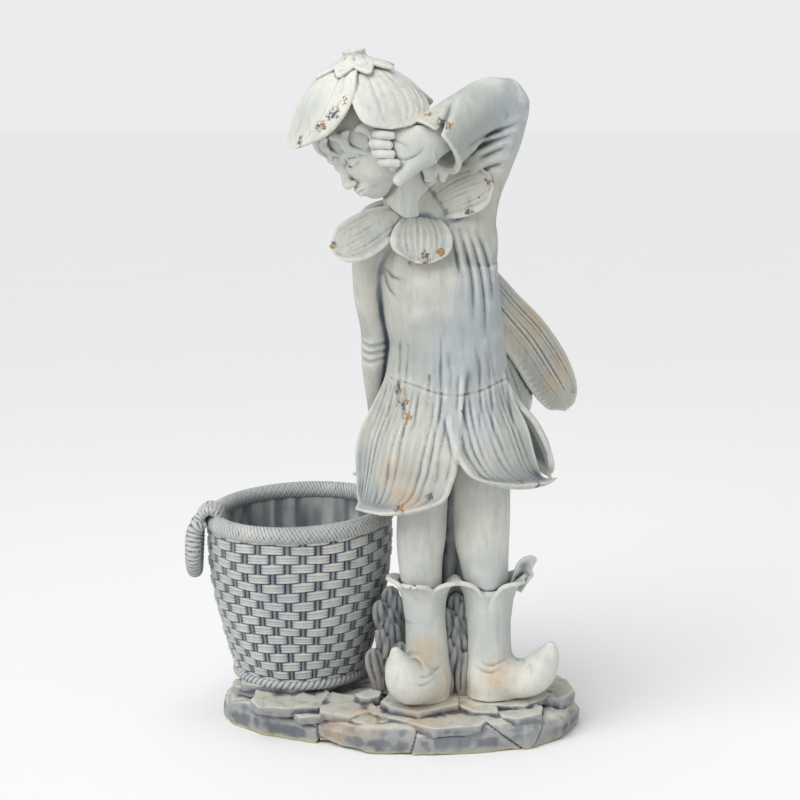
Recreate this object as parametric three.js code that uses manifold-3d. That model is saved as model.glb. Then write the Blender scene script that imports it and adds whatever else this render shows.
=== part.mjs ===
// Fairy garden statue: a child in flower-petal clothes wipes one brow beside a woven basket planter,
// on a base of broken flagstones. Fairy, basket and stones are cast as one piece.
// Millimetres, +Z up. The front faces -Y, and the origin is the middle of the base's flat underside.
import * as THREE from "three";
import { mergeVertices } from "three/addons/utils/BufferGeometryUtils.js";
import Module from "manifold-3d";

const wasm = await Module();
wasm.setup();

// Driving dimensions of the base
const baseWidth = 433;
const baseDepth = 258;
const wallHeight = 26;
const rockHeight = 34;
const slabTop = 53;

// Driving dimensions of the basket
const basketX = -119;
const basketY = 40;
const basketRimRadius = 106;
const basketFootRadius = 76;
const basketHeight = 197;
const basketWall = 12;
const basketFloor = 14;
const rimRopeRadius = 10.5;
const rimLean = [0.04, 0.045];
const footRopeRadius = 5;
const weaveStakes = 20;
const weaveRows = 7;
const weaveRelief = 1.8;
const handleDrop = 70;
const handleRopeRadius = 9.5;

// The figure's height from the basket's slab to the cut stalk on the hat. Its pose and carving are
// written for poseHeight and follow the height as shares of it.
const figureHeight = 745;
const poseHeight = 745;
const soleLevel = -6;
const petalThickness = 6;
const wingThickness = 6.5;

const TAU = Math.PI * 2;
const degrees = THREE.MathUtils.degToRad;
const share = figureHeight / poseHeight;
const vector = (x, y, z) => new THREE.Vector3(x, y, z);
// A point of the pose: x and y from the origin, z above the slab that the boots stand on.
const pose = (x, y, z) => vector(x * share, y * share, slabTop + z * share);

// Turns a closed geometry into a solid that can be joined and cut.
function solid(geometry) {
  const bare = geometry.clone();
  bare.deleteAttribute("normal");
  bare.deleteAttribute("uv");
  const merged = mergeVertices(bare, 1e-3);
  const mesh = { numProp: 3, vertProperties: merged.attributes.position.array };
  return new wasm.Manifold(new wasm.Mesh({ ...mesh, triVerts: new Uint32Array(merged.index.array) }));
}

// A closed skin through rings of points, capped at both ends, with its faces pointing out.
// crossed(i, j) says which four-sided fields are split along their other diagonal.
function skin(rings, crossed = () => false) {
  const sides = rings[0].length;
  const points = rings.flat();
  const faces = [];
  for (let i = 0; i < rings.length - 1; i++)
    for (let j = 0; j < sides; j++) {
      const a = i * sides + j;
      const b = i * sides + ((j + 1) % sides);
      if (crossed(i, j)) faces.push([a, b, a + sides], [b, b + sides, a + sides]);
      else faces.push([a, b, b + sides], [a, b + sides, a + sides]);
    }
  const close = (first, turned) => {
    const hub = points.length;
    const middle = vector(0, 0, 0);
    for (let j = 0; j < sides; j++) middle.add(points[first + j]);
    points.push(middle.divideScalar(sides));
    for (let j = 0; j < sides; j++) {
      const pair = [first + j, first + ((j + 1) % sides)];
      faces.push(turned ? [hub, pair[0], pair[1]] : [hub, pair[1], pair[0]]);
    }
  };
  close(0, false);
  close((rings.length - 1) * sides, true);
  let volume = 0;
  for (const [a, b, c] of faces) volume += points[a].dot(points[b].clone().cross(points[c]));
  const facing = volume < 0 ? faces.map(([a, b, c]) => [a, c, b]) : faces;
  const geometry = new THREE.BufferGeometry().setFromPoints(points);
  geometry.setIndex(facing.flat());
  return geometry;
}

// Smooth values through a list of rows of numbers, at t from 0 to 1.
function through(rows) {
  const width = rows[0].length;
  const curves = [];
  for (let k = 0; k < width; k += 3)
    curves.push(new THREE.CatmullRomCurve3(rows.map((r) => vector(r[k], r[k + 1] ?? 0, r[k + 2] ?? 0))));
  return (t) => curves.flatMap((c) => c.getPoint(t).toArray()).slice(0, width);
}

// A rounded limb along a path of [x, y, z, half width, half depth] stations in the pose.
// front says which way the half depth points.
function limb(stations, { front = [0, -1, 0], sides = 10, steps = 8, caps = [0.6, 0.6], bump } = {}) {
  const at = through(stations);
  const facing = vector(...front);
  const middle = (t) => pose(...at(t).slice(0, 3));
  const ring = (t, shrink, slide) => {
    const centre = middle(t);
    const ahead = middle(Math.min(1, t + 0.01)).sub(middle(Math.max(0, t - 0.01))).normalize();
    const across = facing.clone().cross(ahead).normalize();
    const deep = ahead.clone().cross(across).normalize();
    const [a, b] = at(t).slice(3).map((v) => v * share * shrink);
    centre.addScaledVector(ahead, slide * Math.min(...at(t).slice(3)) * share);
    return Array.from({ length: sides }, (_, j) => {
      const angle = (j / sides) * TAU;
      const swell = bump ? bump(angle, t) : 1;
      return centre
        .clone()
        .addScaledVector(across, a * swell * Math.cos(angle))
        .addScaledVector(deep, -b * swell * Math.sin(angle));
    });
  };
  const rings = [];
  if (caps[0]) rings.push(ring(0, 0.25, -caps[0]), ring(0, 0.75, -0.66 * caps[0]));
  for (let i = 0; i <= steps; i++) rings.push(ring(i / steps, 1, 0));
  if (caps[1]) rings.push(ring(1, 0.75, 0.66 * caps[1]), ring(1, 0.25, caps[1]));
  return solid(skin(rings));
}

// A frame to wrap petals round: heights run along up, and angle 0 points as near to the front as it can.
function petalFrame(origin, up, stretch = [1, 1]) {
  const axis = vector(...up).normalize();
  const side = vector(0, -1, 0).cross(axis).negate().normalize();
  const out = side.clone().cross(axis).normalize();
  return { origin: pose(...origin), up: axis, side, out, stretch };
}

// Places across a petal, from one edge at -1 to the other at 1.
const across = (columns) => Array.from({ length: columns + 1 }, (_, j) => (2 * j) / columns - 1);

// A petal wrapped round a frame's axis. Stations run from root to tip as [radius, height, half width],
// the half width along the arc. The grooves are flutes that follow the petal's own outline.
function petal(frame, turn, stations, options = {}) {
  const { skew = 0, lift = 0, flutes = 0, groove = 0, rows = 6, columns = 8 } = options;
  const { thickness = petalThickness, tipThickness = 0.6 } = options;
  const at = through(stations);
  const point = (t, s, offset) => {
    const [r, h, w] = at(t);
    const [r0, h0] = at(Math.max(0, t - 0.02));
    const [r1, h1] = at(Math.min(1, t + 0.02));
    const run = Math.hypot(r1 - r0, h1 - h0);
    const out = offset + lift * w * s * s;
    const radius = r + (out * (h0 - h1)) / run;
    const height = h + (out * (r1 - r0)) / run;
    const angle = degrees(turn + skew * t * t) + (s * w) / Math.max(r, w * 0.5);
    return frame.origin
      .clone()
      .addScaledVector(frame.out, radius * share * frame.stretch[1] * Math.cos(angle))
      .addScaledVector(frame.side, radius * share * frame.stretch[0] * Math.sin(angle))
      .addScaledVector(frame.up, height * share);
  };
  const rings = [];
  for (let i = 0; i <= rows; i++) {
    const t = i / rows;
    const half = (thickness / 2) * (t === 1 ? tipThickness : 1);
    const carve = groove * Math.sin(Math.min(1, t * 1.15) * Math.PI);
    const face = across(columns).map((s) => {
      const flute = flutes ? carve * Math.cos(s * flutes * Math.PI) : 0;
      return point(t, s, half * (Math.abs(s) === 1 ? 0.55 : 1) + flute);
    });
    const inside = across(columns / 2).map((s) => point(t, s, -half * (Math.abs(s) === 1 ? 0.55 : 1)));
    rings.push([...face, ...inside.reverse()]);
  }
  return solid(skin(rings));
}

// A free blade, such as a wing or a leaf, along stations of [x, y, z, half width].
// out is the way its face looks, cup is how far its edges curl towards it.
function blade(stations, out, options = {}) {
  const { thickness = petalThickness, cup = 0, flutes = 0, groove = 0, rows = 6, columns = 6 } = options;
  const at = through(stations);
  const middle = (t) => pose(...at(t).slice(0, 3));
  const rings = [];
  for (let i = 0; i <= rows; i++) {
    const t = i / rows;
    const ahead = middle(Math.min(1, t + 0.02)).sub(middle(Math.max(0, t - 0.02))).normalize();
    const side = ahead.clone().cross(vector(...out)).normalize();
    const normal = side.clone().cross(ahead).normalize();
    const w = at(t)[3] * share;
    const place = (s, d) => {
      const rise = cup * w * s * s + d * (Math.abs(s) === 1 ? 0.5 : 1);
      return middle(t).addScaledVector(side, w * s).addScaledVector(normal, rise);
    };
    const carve = groove * Math.sin(t * Math.PI);
    const face = across(columns).map((s) => place(s, thickness / 2 + carve * Math.cos(s * flutes * Math.PI)));
    const inside = across(columns / 2).map((s) => place(s, -thickness / 2));
    rings.push([...face, ...inside.reverse()]);
  }
  return solid(skin(rings));
}

// An egg shape at a place in the pose, with its half sizes along three given directions.
function egg(centre, sizes, axes = [[1, 0, 0], [0, 1, 0], [0, 0, 1]], detail = [10, 8]) {
  const shape = new THREE.SphereGeometry(1, ...detail);
  const [ex, ey, ez] = axes.map((a, k) => vector(...a).multiplyScalar(sizes[k] * share));
  shape.applyMatrix4(new THREE.Matrix4().makeBasis(ex, ey, ez).setPosition(pose(...centre)));
  return solid(shape);
}

const join = (pieces) => pieces.reduce((all, piece) => all.add(piece));

// A repeatable wobble from -1 to 1, for broken stone.
const wobble = (n) => {
  const s = Math.sin(n * 127.1 + 11.7) * 43758.5453;
  return 2 * (s - Math.floor(s)) - 1;
};

// The stone base

// Where the base stands, as points round its underside.
const baseOutline = [
  [-214, 12], [-202, -17], [-161, -57], [-95, -86], [-39, -122], [42, -127], [101, -117], [148, -105],
  [193, -74], [219, -18], [216, 34], [188, 82], [132, 112], [50, 126], [-50, 130], [
    -136, 131,
  ], [-188, 98], [-213, 52],
].map(([x, y]) => [(x * baseWidth) / 433, (y * baseDepth) / 258]);

// The rock under the slabs: flat below, with an upright wall and a ledge, then a rounded top.
function rock() {
  const ledges = [
    [0, 1],
    [0.9 * wallHeight, 1.005],
    [wallHeight, 0.965],
    [0.9 * rockHeight, 0.94],
    [rockHeight, 0.88],
  ];
  const rings = ledges.map(([level, size], i) =>
    baseOutline.map(([x, y], j) => {
      const uneven = size + (i ? 0.014 * wobble(i * 31 + j) : 0);
      return vector(x * uneven, y * uneven, level);
    }),
  );
  return solid(skin(rings));
}

// A broken slab: centre x and y, half sizes, turn in degrees, corners, its top, its depth and its dip
// towards the front.
function slab([x, y, halfX, halfY, turn, corners, top, depth, dip], seed) {
  const outline = new THREE.Shape();
  for (let j = 0; j < corners; j++) {
    const angle = (j / corners) * TAU + 0.35 * wobble(seed * 7 + j);
    const reach = 1 + 0.13 * wobble(seed * 13 + j);
    outline[j ? "lineTo" : "moveTo"](halfX * reach * Math.cos(angle), halfY * reach * Math.sin(angle));
  }
  const shape = new THREE.ExtrudeGeometry(outline, { depth, bevelEnabled: false });
  shape.rotateZ(degrees(turn));
  shape.translate(0, 0, -depth);
  shape.rotateX(degrees(dip));
  shape.translate((x * baseWidth) / 433, (y * baseDepth) / 258, top);
  return solid(shape);
}

const bootTop = slabTop + soleLevel;
const slabs = [
  [28, -62, 50, 46, 8, 8, bootTop, 16, 3],
  [116, -34, 66, 52, -12, 9, bootTop, 20, 3],
  [48, -86, 78, 40, -4, 8, 38, 14, 5],
  [140, -80, 36, 30, -20, 6, 40, 16, 6],
  [-62, -64, 38, 32, -14, 7, 41, 16, 8],
  [-128, -48, 48, 36, 14, 7, 45, 22, 7],
  [basketX, basketY, 90, 87, 0, 11, slabTop, 24, 0],
  [184, -6, 32, 52, 15, 7, 46, 20, 3],
  [56, 70, 92, 46, -8, 8, 46, 22, -2],
];

// The basket planter

const basketBase = slabTop;
const basketTop = basketBase + basketHeight;

// Outer radius of the woven wall at a share of its height: it swells towards the rim.
const wallCurve = new THREE.CatmullRomCurve3(
  [
    [0.99, 0], [1.08, 0.06], [1.22, 0.25], [1.35, 0.46], [1.45, 0.7], [1.47, 0.86], [1.46, 1],
  ].map(([r, h]) =>
    vector(r * basketFootRadius, h, 0),
  ),
);
const wallRadius = (level) => wallCurve.getPoint(level).x;

// The rim dips a little to the front and left, and the rest of the basket follows by its height.
function onBasket(radius, angle, height) {
  const x = radius * Math.cos(angle);
  const y = radius * Math.sin(angle);
  const level = Math.max(0, (height - basketBase) / basketHeight);
  const rise = level * (rimLean[0] * x + rimLean[1] * y);
  return vector(basketX + x, basketY + y, height + rise);
}

// The woven cup: up the outside with a raised bundle at every other stake, and down the plain inside.
function wovenCup() {
  const around = (radius, height, relief = () => 0) =>
    Array.from({ length: weaveStakes }, (_, j) =>
      onBasket(radius + relief(j), (j / weaveStakes) * TAU, height),
    );
  const rings = [around(basketFootRadius, basketBase - 6)];
  for (let i = 0; i < weaveRows; i++) {
    const level = (i + 0.5) / weaveRows;
    const over = (j) => ((i + j) % 2 ? -weaveRelief : weaveRelief);
    rings.push(around(wallRadius(level), basketBase + level * basketHeight, over));
  }
  rings.push(around(basketRimRadius, basketTop));
  rings.push(around(basketRimRadius - 0.6 * basketWall, basketTop));
  rings.push(around(wallRadius(0.7) - basketWall, basketBase + 0.7 * basketHeight));
  rings.push(around(basketFootRadius - basketWall, basketBase + basketFloor));
  return solid(skin(rings, (i, j) => i <= weaveRows && (i + j) % 2 === 1));
}

// A ring of rope lying round the basket. Its section turns as it goes, which leaves a twist.
function ropeRing(radius, rope, height, segments, lobes, twists) {
  const sides = lobes * 2;
  const rings = Array.from({ length: segments }, (_, i) => {
    const angle = (i / segments) * TAU;
    return Array.from({ length: sides }, (_, j) => {
      const section = (j / sides) * TAU + (twists * i * TAU) / segments / lobes;
      const r = rope * (j % 2 ? 0.93 : 1.04);
      return onBasket(radius + r * Math.cos(section), angle, height + r * Math.sin(section));
    });
  });
  // The ring closes on itself, so it is made as two capped halves.
  const half = Math.floor(segments / 2);
  const first = solid(skin(rings.slice(0, half + 1)));
  const second = solid(skin([...rings.slice(half), rings[0]]));
  return first.add(second);
}

// A round cord along a path of points.
function cord(path, radius, segments, sides) {
  const curve = new THREE.CatmullRomCurve3(path.map((p) => vector(...p)));
  const frames = curve.computeFrenetFrames(segments, false);
  const rings = Array.from({ length: segments + 1 }, (_, i) => {
    const r = radius * (i === 0 || i === segments ? 0.6 : 1);
    return Array.from({ length: sides }, (_, j) => {
      const angle = (j / sides) * TAU;
      return curve
        .getPoint(i / segments)
        .addScaledVector(frames.normals[i], r * Math.cos(angle))
        .addScaledVector(frames.binormals[i], r * Math.sin(angle));
    });
  });
  return solid(skin(rings));
}

// The rope handle that hangs off the rim at the left, with the knot that ties it there.
function handle() {
  const x = basketX - 1.47 * basketFootRadius - handleRopeRadius;
  const y = basketY - 28;
  const top = basketTop - rimLean[0] * basketRimRadius;
  const r = handleRopeRadius;
  const loop = [
    [x + 1.2 * r, y - 1.6 * r, top],
    [x - 0.2 * r, y - 2 * r, top - 0.1 * handleDrop],
    [x - 0.5 * r, y - 2.4 * r, top - 0.5 * handleDrop],
    [x - 0.5 * r, y, top - handleDrop + r],
    [x - 0.5 * r, y + 2.4 * r, top - 0.5 * handleDrop],
    [x - 0.2 * r, y + 2 * r, top - 0.1 * handleDrop],
    [x + 1.2 * r, y + 1.6 * r, top],
  ];
  const knot = [-0.8, 0.8].map((side) => [
    [x + 2.6 * r, y + side * 1.5 * r, top - 0.4 * r],
    [x + 1.8 * r, y + side * 1.7 * r, top + 1.5 * r],
    [x + 0.2 * r, y + side * 1.9 * r, top + 1.3 * r],
    [x - 0.2 * r, y + side * 1.8 * r, top - 0.6 * r],
  ]);
  return join([cord(loop, r, 8, 6), ...knot.map((path) => cord(path, 0.9 * r, 4, 5))]);
}

// The fairy: trunk and limbs

const body = () => [
  limb(
    [
      [61, -37, 306, 74, 52],
      [60, -38, 334, 79, 57],
      [58, -39, 367, 73, 55],
      [57, -40, 420, 67, 52],
      [49, -41, 466, 69, 53],
      [44, -41, 506, 71, 49],
      [48, -41, 538, 64, 42],
      [42, -42, 562, 44, 34],
      [28, -44, 580, 26, 25],
    ],
    { sides: 10, steps: 7, caps: [0, 0.4] },
  ),
  limb([[24, -42, 548, 33, 30], [16, -43, 574, 31, 28], [12, -41, 602, 32, 30], [6, -42, 628, 35, 32]], {
    sides: 8,
    steps: 2,
    caps: [0, 0],
  }),
];

// Viewer's right arm, raised so that its hand meets the brow, in a sleeve with a hollow flared cuff.
const raisedArm = () => {
  const upper = limb(
    [
      [78, -38, 528, 36, 36], [81, -39, 560, 32, 33], [90, -41, 601, 32, 31], [107, -44, 645, 32, 30],
      [123, -47, 680, 26, 26], [128, -49, 694, 22, 22],
    ],
    { sides: 8, steps: 4, caps: [0, 0] },
  );
  const sleeve = limb(
    [
      [129, -50, 695, 22, 22], [104, -58, 688, 30, 27], [79, -73, 672, 32, 29], [58, -86, 656, 34, 31],
      [47, -94, 647, 36, 32], [40, -99, 640, 39, 35],
    ],
    { front: [0, -1, -0.4], sides: 8, steps: 5, caps: [0.6, 0] },
  );
  const hollow = limb([[62, -83, 659, 20, 18], [48, -93, 648, 28, 25], [32, -105, 633, 36, 32]], {
    front: [0, -1, -0.4],
    sides: 8,
    steps: 2,
    caps: [0, 0],
  });
  return [upper.add(sleeve).subtract(hollow)];
};

// The raised hand: palm to the viewer, four fingers folded over and the thumb pointing down.
const raisedHand = () => {
  const knuckles = [[-21, 655], [-24, 645], [-21, 635], [-15, 625]];
  const fingers = knuckles.map(([x, z]) =>
    limb(
      [[x + 18, -116, z, 5, 5], [x, -117, z, 5, 5], [x + 1, -127, z, 5, 5], [x + 14, -130, z - 1, 4.5, 4.5]],
      { front: [0, 0, 1], sides: 5, steps: 3, caps: [0, 0.5] },
    ),
  );
  return [
    limb(
      [
        [62, -90, 660, 18, 15],
        [44, -101, 650, 19, 15],
        [28, -110, 643, 23, 14],
        [8, -116, 639, 25, 13],
        [-10, -117, 636, 22, 10],
      ],
      { front: [0, -1, 0], sides: 7, steps: 3, caps: [0, 0.3] },
    ),
    limb([
      [32, -112, 633, 12, 10], [16, -119, 620, 9, 9], [2, -123, 607, 7, 7],
    ], { sides: 6, steps: 2, caps: [0, 0.9] }),
    ...fingers,
  ];
};

// Viewer's left arm, hanging, with its hand behind the skirt.
const hangingArm = () => [
  limb(
    [
      [-6, -42, 542, 30, 30], [-27, -41, 512, 24, 27], [-31, -39, 470, 19, 22], [-26, -33, 432, 17, 19],
      [-26, -27, 405, 17, 18], [-26, -17, 374, 14, 16], [-25, -8, 348, 12, 14], [-25, -2, 330, 10, 12],
    ],
    { sides: 7, steps: 7, caps: [0, 0.7] },
  ),
];

// Each leg runs from inside the skirt into its boot.
const legs = () =>
  [
    [
      [34, -44, 330, 29, 31], [30, -46, 232, 29, 31], [28, -48, 190, 29, 30], [27, -50, 158, 26, 27],
      [30, -51, 110, 22, 22],
    ],
    [
      [94, -38, 330, 33, 33], [98, -40, 240, 34, 33], [99, -42, 190, 33, 32], [102, -44, 158, 29, 29],
      [107, -45, 110, 23, 23],
    ],
  ].map((stations) => limb(stations, { sides: 8, steps: 3, caps: [0, 0] }));

// A boot: a shaft and a foot that runs out into a toe curled up to a point.
const boots = () => [
  limb([
    [31, -51, 127, 25, 25],
    [33, -50, 88, 24, 24],
    [35, -51, 50, 25, 27],
    [36, -52, 20, 27, 30],
    [36, -52, soleLevel, 26, 28],
  ], {
    sides: 8,
    steps: 3,
    caps: [0, 0],
  }),
  limb(
    [
      [38, -40, 18, 22, 20], [32, -58, 18, 28, 24], [20, -80, 19, 28, 25], [8, -95, 27, 25, 24],
      [1, -100, 42, 20, 19], [-2, -101, 55, 13, 12], [-4, -100, 65, 6, 6],
    ],
    { front: [0, 0, 1], sides: 8, steps: 6, caps: [0.5, 0.5] },
  ),
  limb([
    [108, -45, 127, 28, 27],
    [108, -45, 88, 26, 26],
    [109, -45, 50, 26, 27],
    [110, -46, 20, 28, 29],
    [110, -46, soleLevel, 27, 27],
  ], {
    sides: 8,
    steps: 3,
    caps: [0, 0],
  }),
  limb(
    [
      [100, -44, 18, 22, 22],
      [122, -50, 18, 26, 24],
      [146, -55, 17, 26, 23],
      [162, -58, 23, 24, 22],
      [172, -60, 37, 18, 18],
      [178, -61, 50, 11, 11],
      [180, -62, 60, 5.5, 5.5],
    ],
    { front: [0, 0, 1], sides: 8, steps: 6, caps: [0.5, 0.5] },
  ),
];

// The fairy: petals

// The skirt's petals: turn, skew of the tip, how far it hangs below the waist, half width at the hem,
// how far it flares halfway down and at the tip, and flutes.
const skirtPetals = [
  [35, 37, 122, 69, 4, 12, 4],
  [-36, -12, 150, 70, 0, 4, 4],
  [108, 4, 116, 46, 15, 4, 2],
  [172, 0, 98, 64, 4, 4, 2],
  [-116, 0, 122, 56, 0, 0, 2],
];

const skirt = () => {
  const frame = petalFrame([60, -38, 372], [0, 0, 1], [1, 0.8]);
  return skirtPetals.map(([turn, skew, drop, width, middle, tip, flutes]) =>
    petal(
      frame,
      turn,
      [
        [66, 14, 0.68 * width],
        [77, -0.2 * drop, 0.8 * width],
        [91 + 0.6 * middle, -0.45 * drop, 0.97 * width],
        [99 + middle, -0.7 * drop, width],
        [102 + middle, -0.88 * drop, 0.9 * width],
        [107 + tip, -drop, 0.24 * width],
      ],
      { skew, flutes, groove: 1.8, rows: flutes > 2 ? 5 : 4, columns: 2 * flutes, thickness: 7 },
    ),
  );
};

// The collar's petals as [x, y, z, half width] from neck to tip, and the way each one faces.
const collar = () => {
  const petals = [
    [
      [
        [6, -62, 574, 16], [-20, -78, 560, 28], [-42, -87, 546, 31], [-60, -92, 533, 24],
        [-72, -93, 526, 6],
      ],
      [-0.25, -0.88, 0.42],
    ],
    [
      [[34, -64, 574, 15], [58, -72, 582, 25], [78, -74, 588, 28], [94, -74, 592, 22], [106, -73, 596, 6]],
      [0.05, -0.95, 0.35],
    ],
    [
      [[20, -66, 578, 14], [25, -84, 561, 30], [27, -96, 541, 34], [27, -100, 524, 27], [26, -99, 512, 6]],
      [0.05, -0.9, 0.4],
    ],
    [[[30, -34, 582, 14], [58, -18, 584, 26], [78, -4, 574, 24], [90, 4, 562, 5]], [0.3, 0.6, 0.8]],
    [[[4, -34, 582, 14], [-16, -10, 572, 26], [-30, 4, 552, 22], [-36, 10, 538, 5]], [-0.5, 0.5, 0.75]],
  ];
  return petals.map(([stations, out], k) => {
    const plain = k > 2;
    const shape = plain ? { flutes: 1, columns: 2, rows: 2 } : { flutes: 3, columns: 6, rows: 4 };
    return blade(stations, out, { ...shape, groove: 1.1, cup: -0.12 });
  });
};

// The hat: petals under a small calyx with a cut stalk. Each is a turn, a skew, its half width, how
// much higher than the lowest one its tip ends, and its flutes.
const hatPetals = [
  [-53, -14, 54, -6, 3],
  [46, -16, 52, 6, 3],
  [120, 0, 44, 16, 1],
  [176, 0, 42, 0, 1],
  [-124, 0, 42, -12, 1],
];

const hat = () => {
  const frame = petalFrame([-37, -52, 652], [-0.12, -0.1, 0.98]);
  const petals = hatPetals.map(([turn, skew, width, rise, flutes]) =>
    petal(
      frame,
      turn,
      [
        [24, 74, 0.42 * width],
        [40, 67, 0.7 * width],
        [59, 51, 0.97 * width],
        [72, 32 + 0.3 * rise, width],
        [79, 17 + 0.7 * rise, 0.8 * width],
        [84, 6 + rise, 0.2 * width],
      ],
      { skew, flutes, groove: 1, rows: flutes > 2 ? 4 : 3, columns: 2 * flutes },
    ),
  );
  // The calyx is a lobed skin: stalk, sepals and underside in one.
  const lobe = (j) => (j % 2 ? 0 : 1);
  const calyx = [
    [0, 13, 97],
    [0, 11, 86],
    [0.3, 18, 81],
    [1, 27, 77],
    [1, 22, 69],
  ].map(([leaf, r, h]) =>
    Array.from({ length: 10 }, (_, j) => {
      const angle = ((j - 0.8) / 10) * TAU;
      const reach = (r + leaf * 13 * lobe(j)) * share;
      return frame.origin
        .clone()
        .addScaledVector(frame.out, reach * Math.cos(angle))
        .addScaledVector(frame.side, reach * Math.sin(angle))
        .addScaledVector(frame.up, (h - leaf * 6 * lobe(j)) * share);
    }),
  );
  return [...petals, solid(skin(calyx))];
};

// The frill of small petals that turns out round the top of each boot: its edge waves up and out.
const bootCuffs = () =>
  [
    [[31, -51, 126], 25, 5, 0.3],
    [[108, -45, 126], 28, 5, 0.9],
  ].map(([origin, radius, lobes, start]) => {
    const frame = petalFrame(origin, [0, 0, 1]);
    const columns = 3 * lobes;
    const profile = [
      [-5, -16, 0, 0],
      [1, -4, 2, 2],
      [6, 3, 11, 9],
      [2, 4, 11, 9],
      [-6, -6, 0, 0],
    ];
    const rings = profile.map(([out, up, flare, lift]) =>
      Array.from({ length: columns }, (_, j) => {
        const angle = ((j + start) / columns) * TAU;
        const wave = j % 3 === 0 ? 0 : 1;
        const r = (radius + out + flare * wave) * share;
        const z = (up + lift * wave) * share;
        return frame.origin.clone().add(vector(r * Math.sin(angle), -r * Math.cos(angle), z));
      }),
    );
    return solid(skin(rings));
  });

// Two wings a side, fixed at the back and folded down. The pair on the viewer's right shows beside the
// body, and the other pair points backwards. Each is [x, y, z, half width] and the way it faces.
const wingPaths = [
  [
    [
      [66, 0, 518, 12], [98, 12, 482, 24], [128, 28, 444, 29], [159, 46, 408, 32], [188, 70, 364, 33],
      [206, 88, 334, 25], [214, 94, 318, 8],
    ],
    [0.35, -0.85, 0.35],
  ],
  [
    [[66, 0, 470, 10], [100, 14, 426, 20], [128, 34, 380, 24], [146, 50, 336, 19], [152, 56, 306, 5]],
    [0.3, -0.9, 0.25],
  ],
  [
    [
      [50, 2, 518, 12], [38, 38, 482, 24], [24, 76, 444, 29], [12, 108, 408, 32], [2, 140, 364, 33],
      [-4, 160, 334, 25], [-6, 168, 318, 8],
    ],
    [-0.9, -0.35, 0.25],
  ],
  [
    [[50, 2, 470, 10], [42, 34, 426, 20], [32, 66, 380, 24], [26, 90, 336, 19], [24, 98, 306, 5]],
    [-0.9, -0.35, 0.25],
  ],
];

const wings = () => {
  const shape = { thickness: wingThickness, groove: 1.3, cup: -0.12, rows: 4 };
  return wingPaths.map(([way, out], k) => {
    const flutes = k ? 2 : 3;
    return blade(way, out, { ...shape, flutes, columns: 2 * flutes });
  });
};

// The fairy: head

// The head's own directions: towards its left ear, up through the crown, and out of the face.
const headLeft = [0.487, -0.848, 0.197];
const headUp = [-0.593, -0.157, 0.79];
const headFace = [-0.639, -0.501, -0.579];
const headCentre = [-28, -50, 648];

// A point of the head, from its centre, along its own three directions.
const onHead = (left, up, face) =>
  headCentre.map((c, k) => c + left * headLeft[k] + up * headUp[k] + face * headFace[k]);

const head = () => {
  const axes = [headLeft, headUp, headFace];
  const features = [
    [[0, 8, 0], [50, 54, 56], [10, 7]],
    [[0, -18, 14], [43, 40, 40], [9, 6]],
    [[0, -44, 36], [15, 12, 13], [6, 4]],
    [[0, -11, 57], [6.5, 11, 9], [6, 4]],
    [[0, -29, 49], [13, 5, 7], [7, 4]],
    [[21, -16, 34], [19, 18, 16], [6, 4]],
    [[-21, -16, 34], [19, 18, 16], [6, 4]],
    [[18, 3, 44], [10.5, 8, 8], [6, 4]],
    [[-18, 3, 44], [10.5, 8, 8], [6, 4]],
  ];
  // The last one is the mass of hair behind the raised wrist.
  return [
    ...features.map(([place, sizes, detail]) => egg(onHead(...place), sizes, axes, detail)),
    egg([40, -58, 612], [14, 12, 17], undefined, [6, 5]),
  ];
};

// Curls that show under the hat: each lock is a short bent strand on the head.
const hair = () => {
  const locks = [
    [-30, 30, 44],
    [-10, 34, 50],
    [12, 34, 50],
    [34, 28, 38],
    [48, 8, 16],
    [50, -12, -2],
    [40, -36, -12],
    [-50, -2, 4],
  ];
  return locks.map(([left, up, face], k) => {
    const bend = k % 2 ? 5 : -5;
    const stations = [
      [...onHead(left * 0.94, up + 10, face * 0.96), 7, 6],
      [...onHead(left * 1.05 + bend, up - 1, face * 1.06), 8, 7],
      [...onHead(left * 1.04 + bend, up - 14, face * 1.06), 3, 3],
    ];
    const front = onHead(left, up, face).map((v, i) => v - headCentre[i]);
    return limb(stations, { front, sides: 5, steps: 2, caps: [0, 0] });
  });
};

// Growth behind the boots: a rough stem that carries the figure, with lance-shaped leaves round it.
const growth = () => {
  const stem = limb(
    [
      [62, -12, -12, 46, 26], [64, -14, 40, 40, 24], [64, -18, 120, 34, 22], [64, -24, 200, 30, 20],
      [62, -32, 322, 36, 28],
    ],
    { sides: 8, steps: 4, caps: [0, 0] },
  );
  const leaves = [
    [-12, -36, -14, -11, -27, 50, 98, 17, 2],
    [-5, -30, -14, -5, -22, 84, 138, 13, 0],
    [68, -50, 0, 66, -42, 50, 100, 12, 0],
    [78, -44, 0, 76, -34, 60, 128, 10, 2],
    [30, 10, 0, 26, 18, 60, 116, 14, -12],
  ];
  const blades = leaves.map(([x0, y0, z0, x1, y1, zm, top, width, lean]) =>
    blade(
      [
        [x0, y0, z0 - 6, 4],
        [x1, y1, zm * 0.6 + z0 * 0.4, width],
        [x1 + lean * 0.4, y1, zm + z0 * 0.2, width * 0.9],
        [x1 + lean, y1 + 2, top, 2],
      ],
      [0, y0 > 0 ? 1 : -1, 0.1],
      { rows: 3, columns: 2, cup: -0.35, thickness: 8 },
    ),
  );
  return [stem, ...blades];
};

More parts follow.
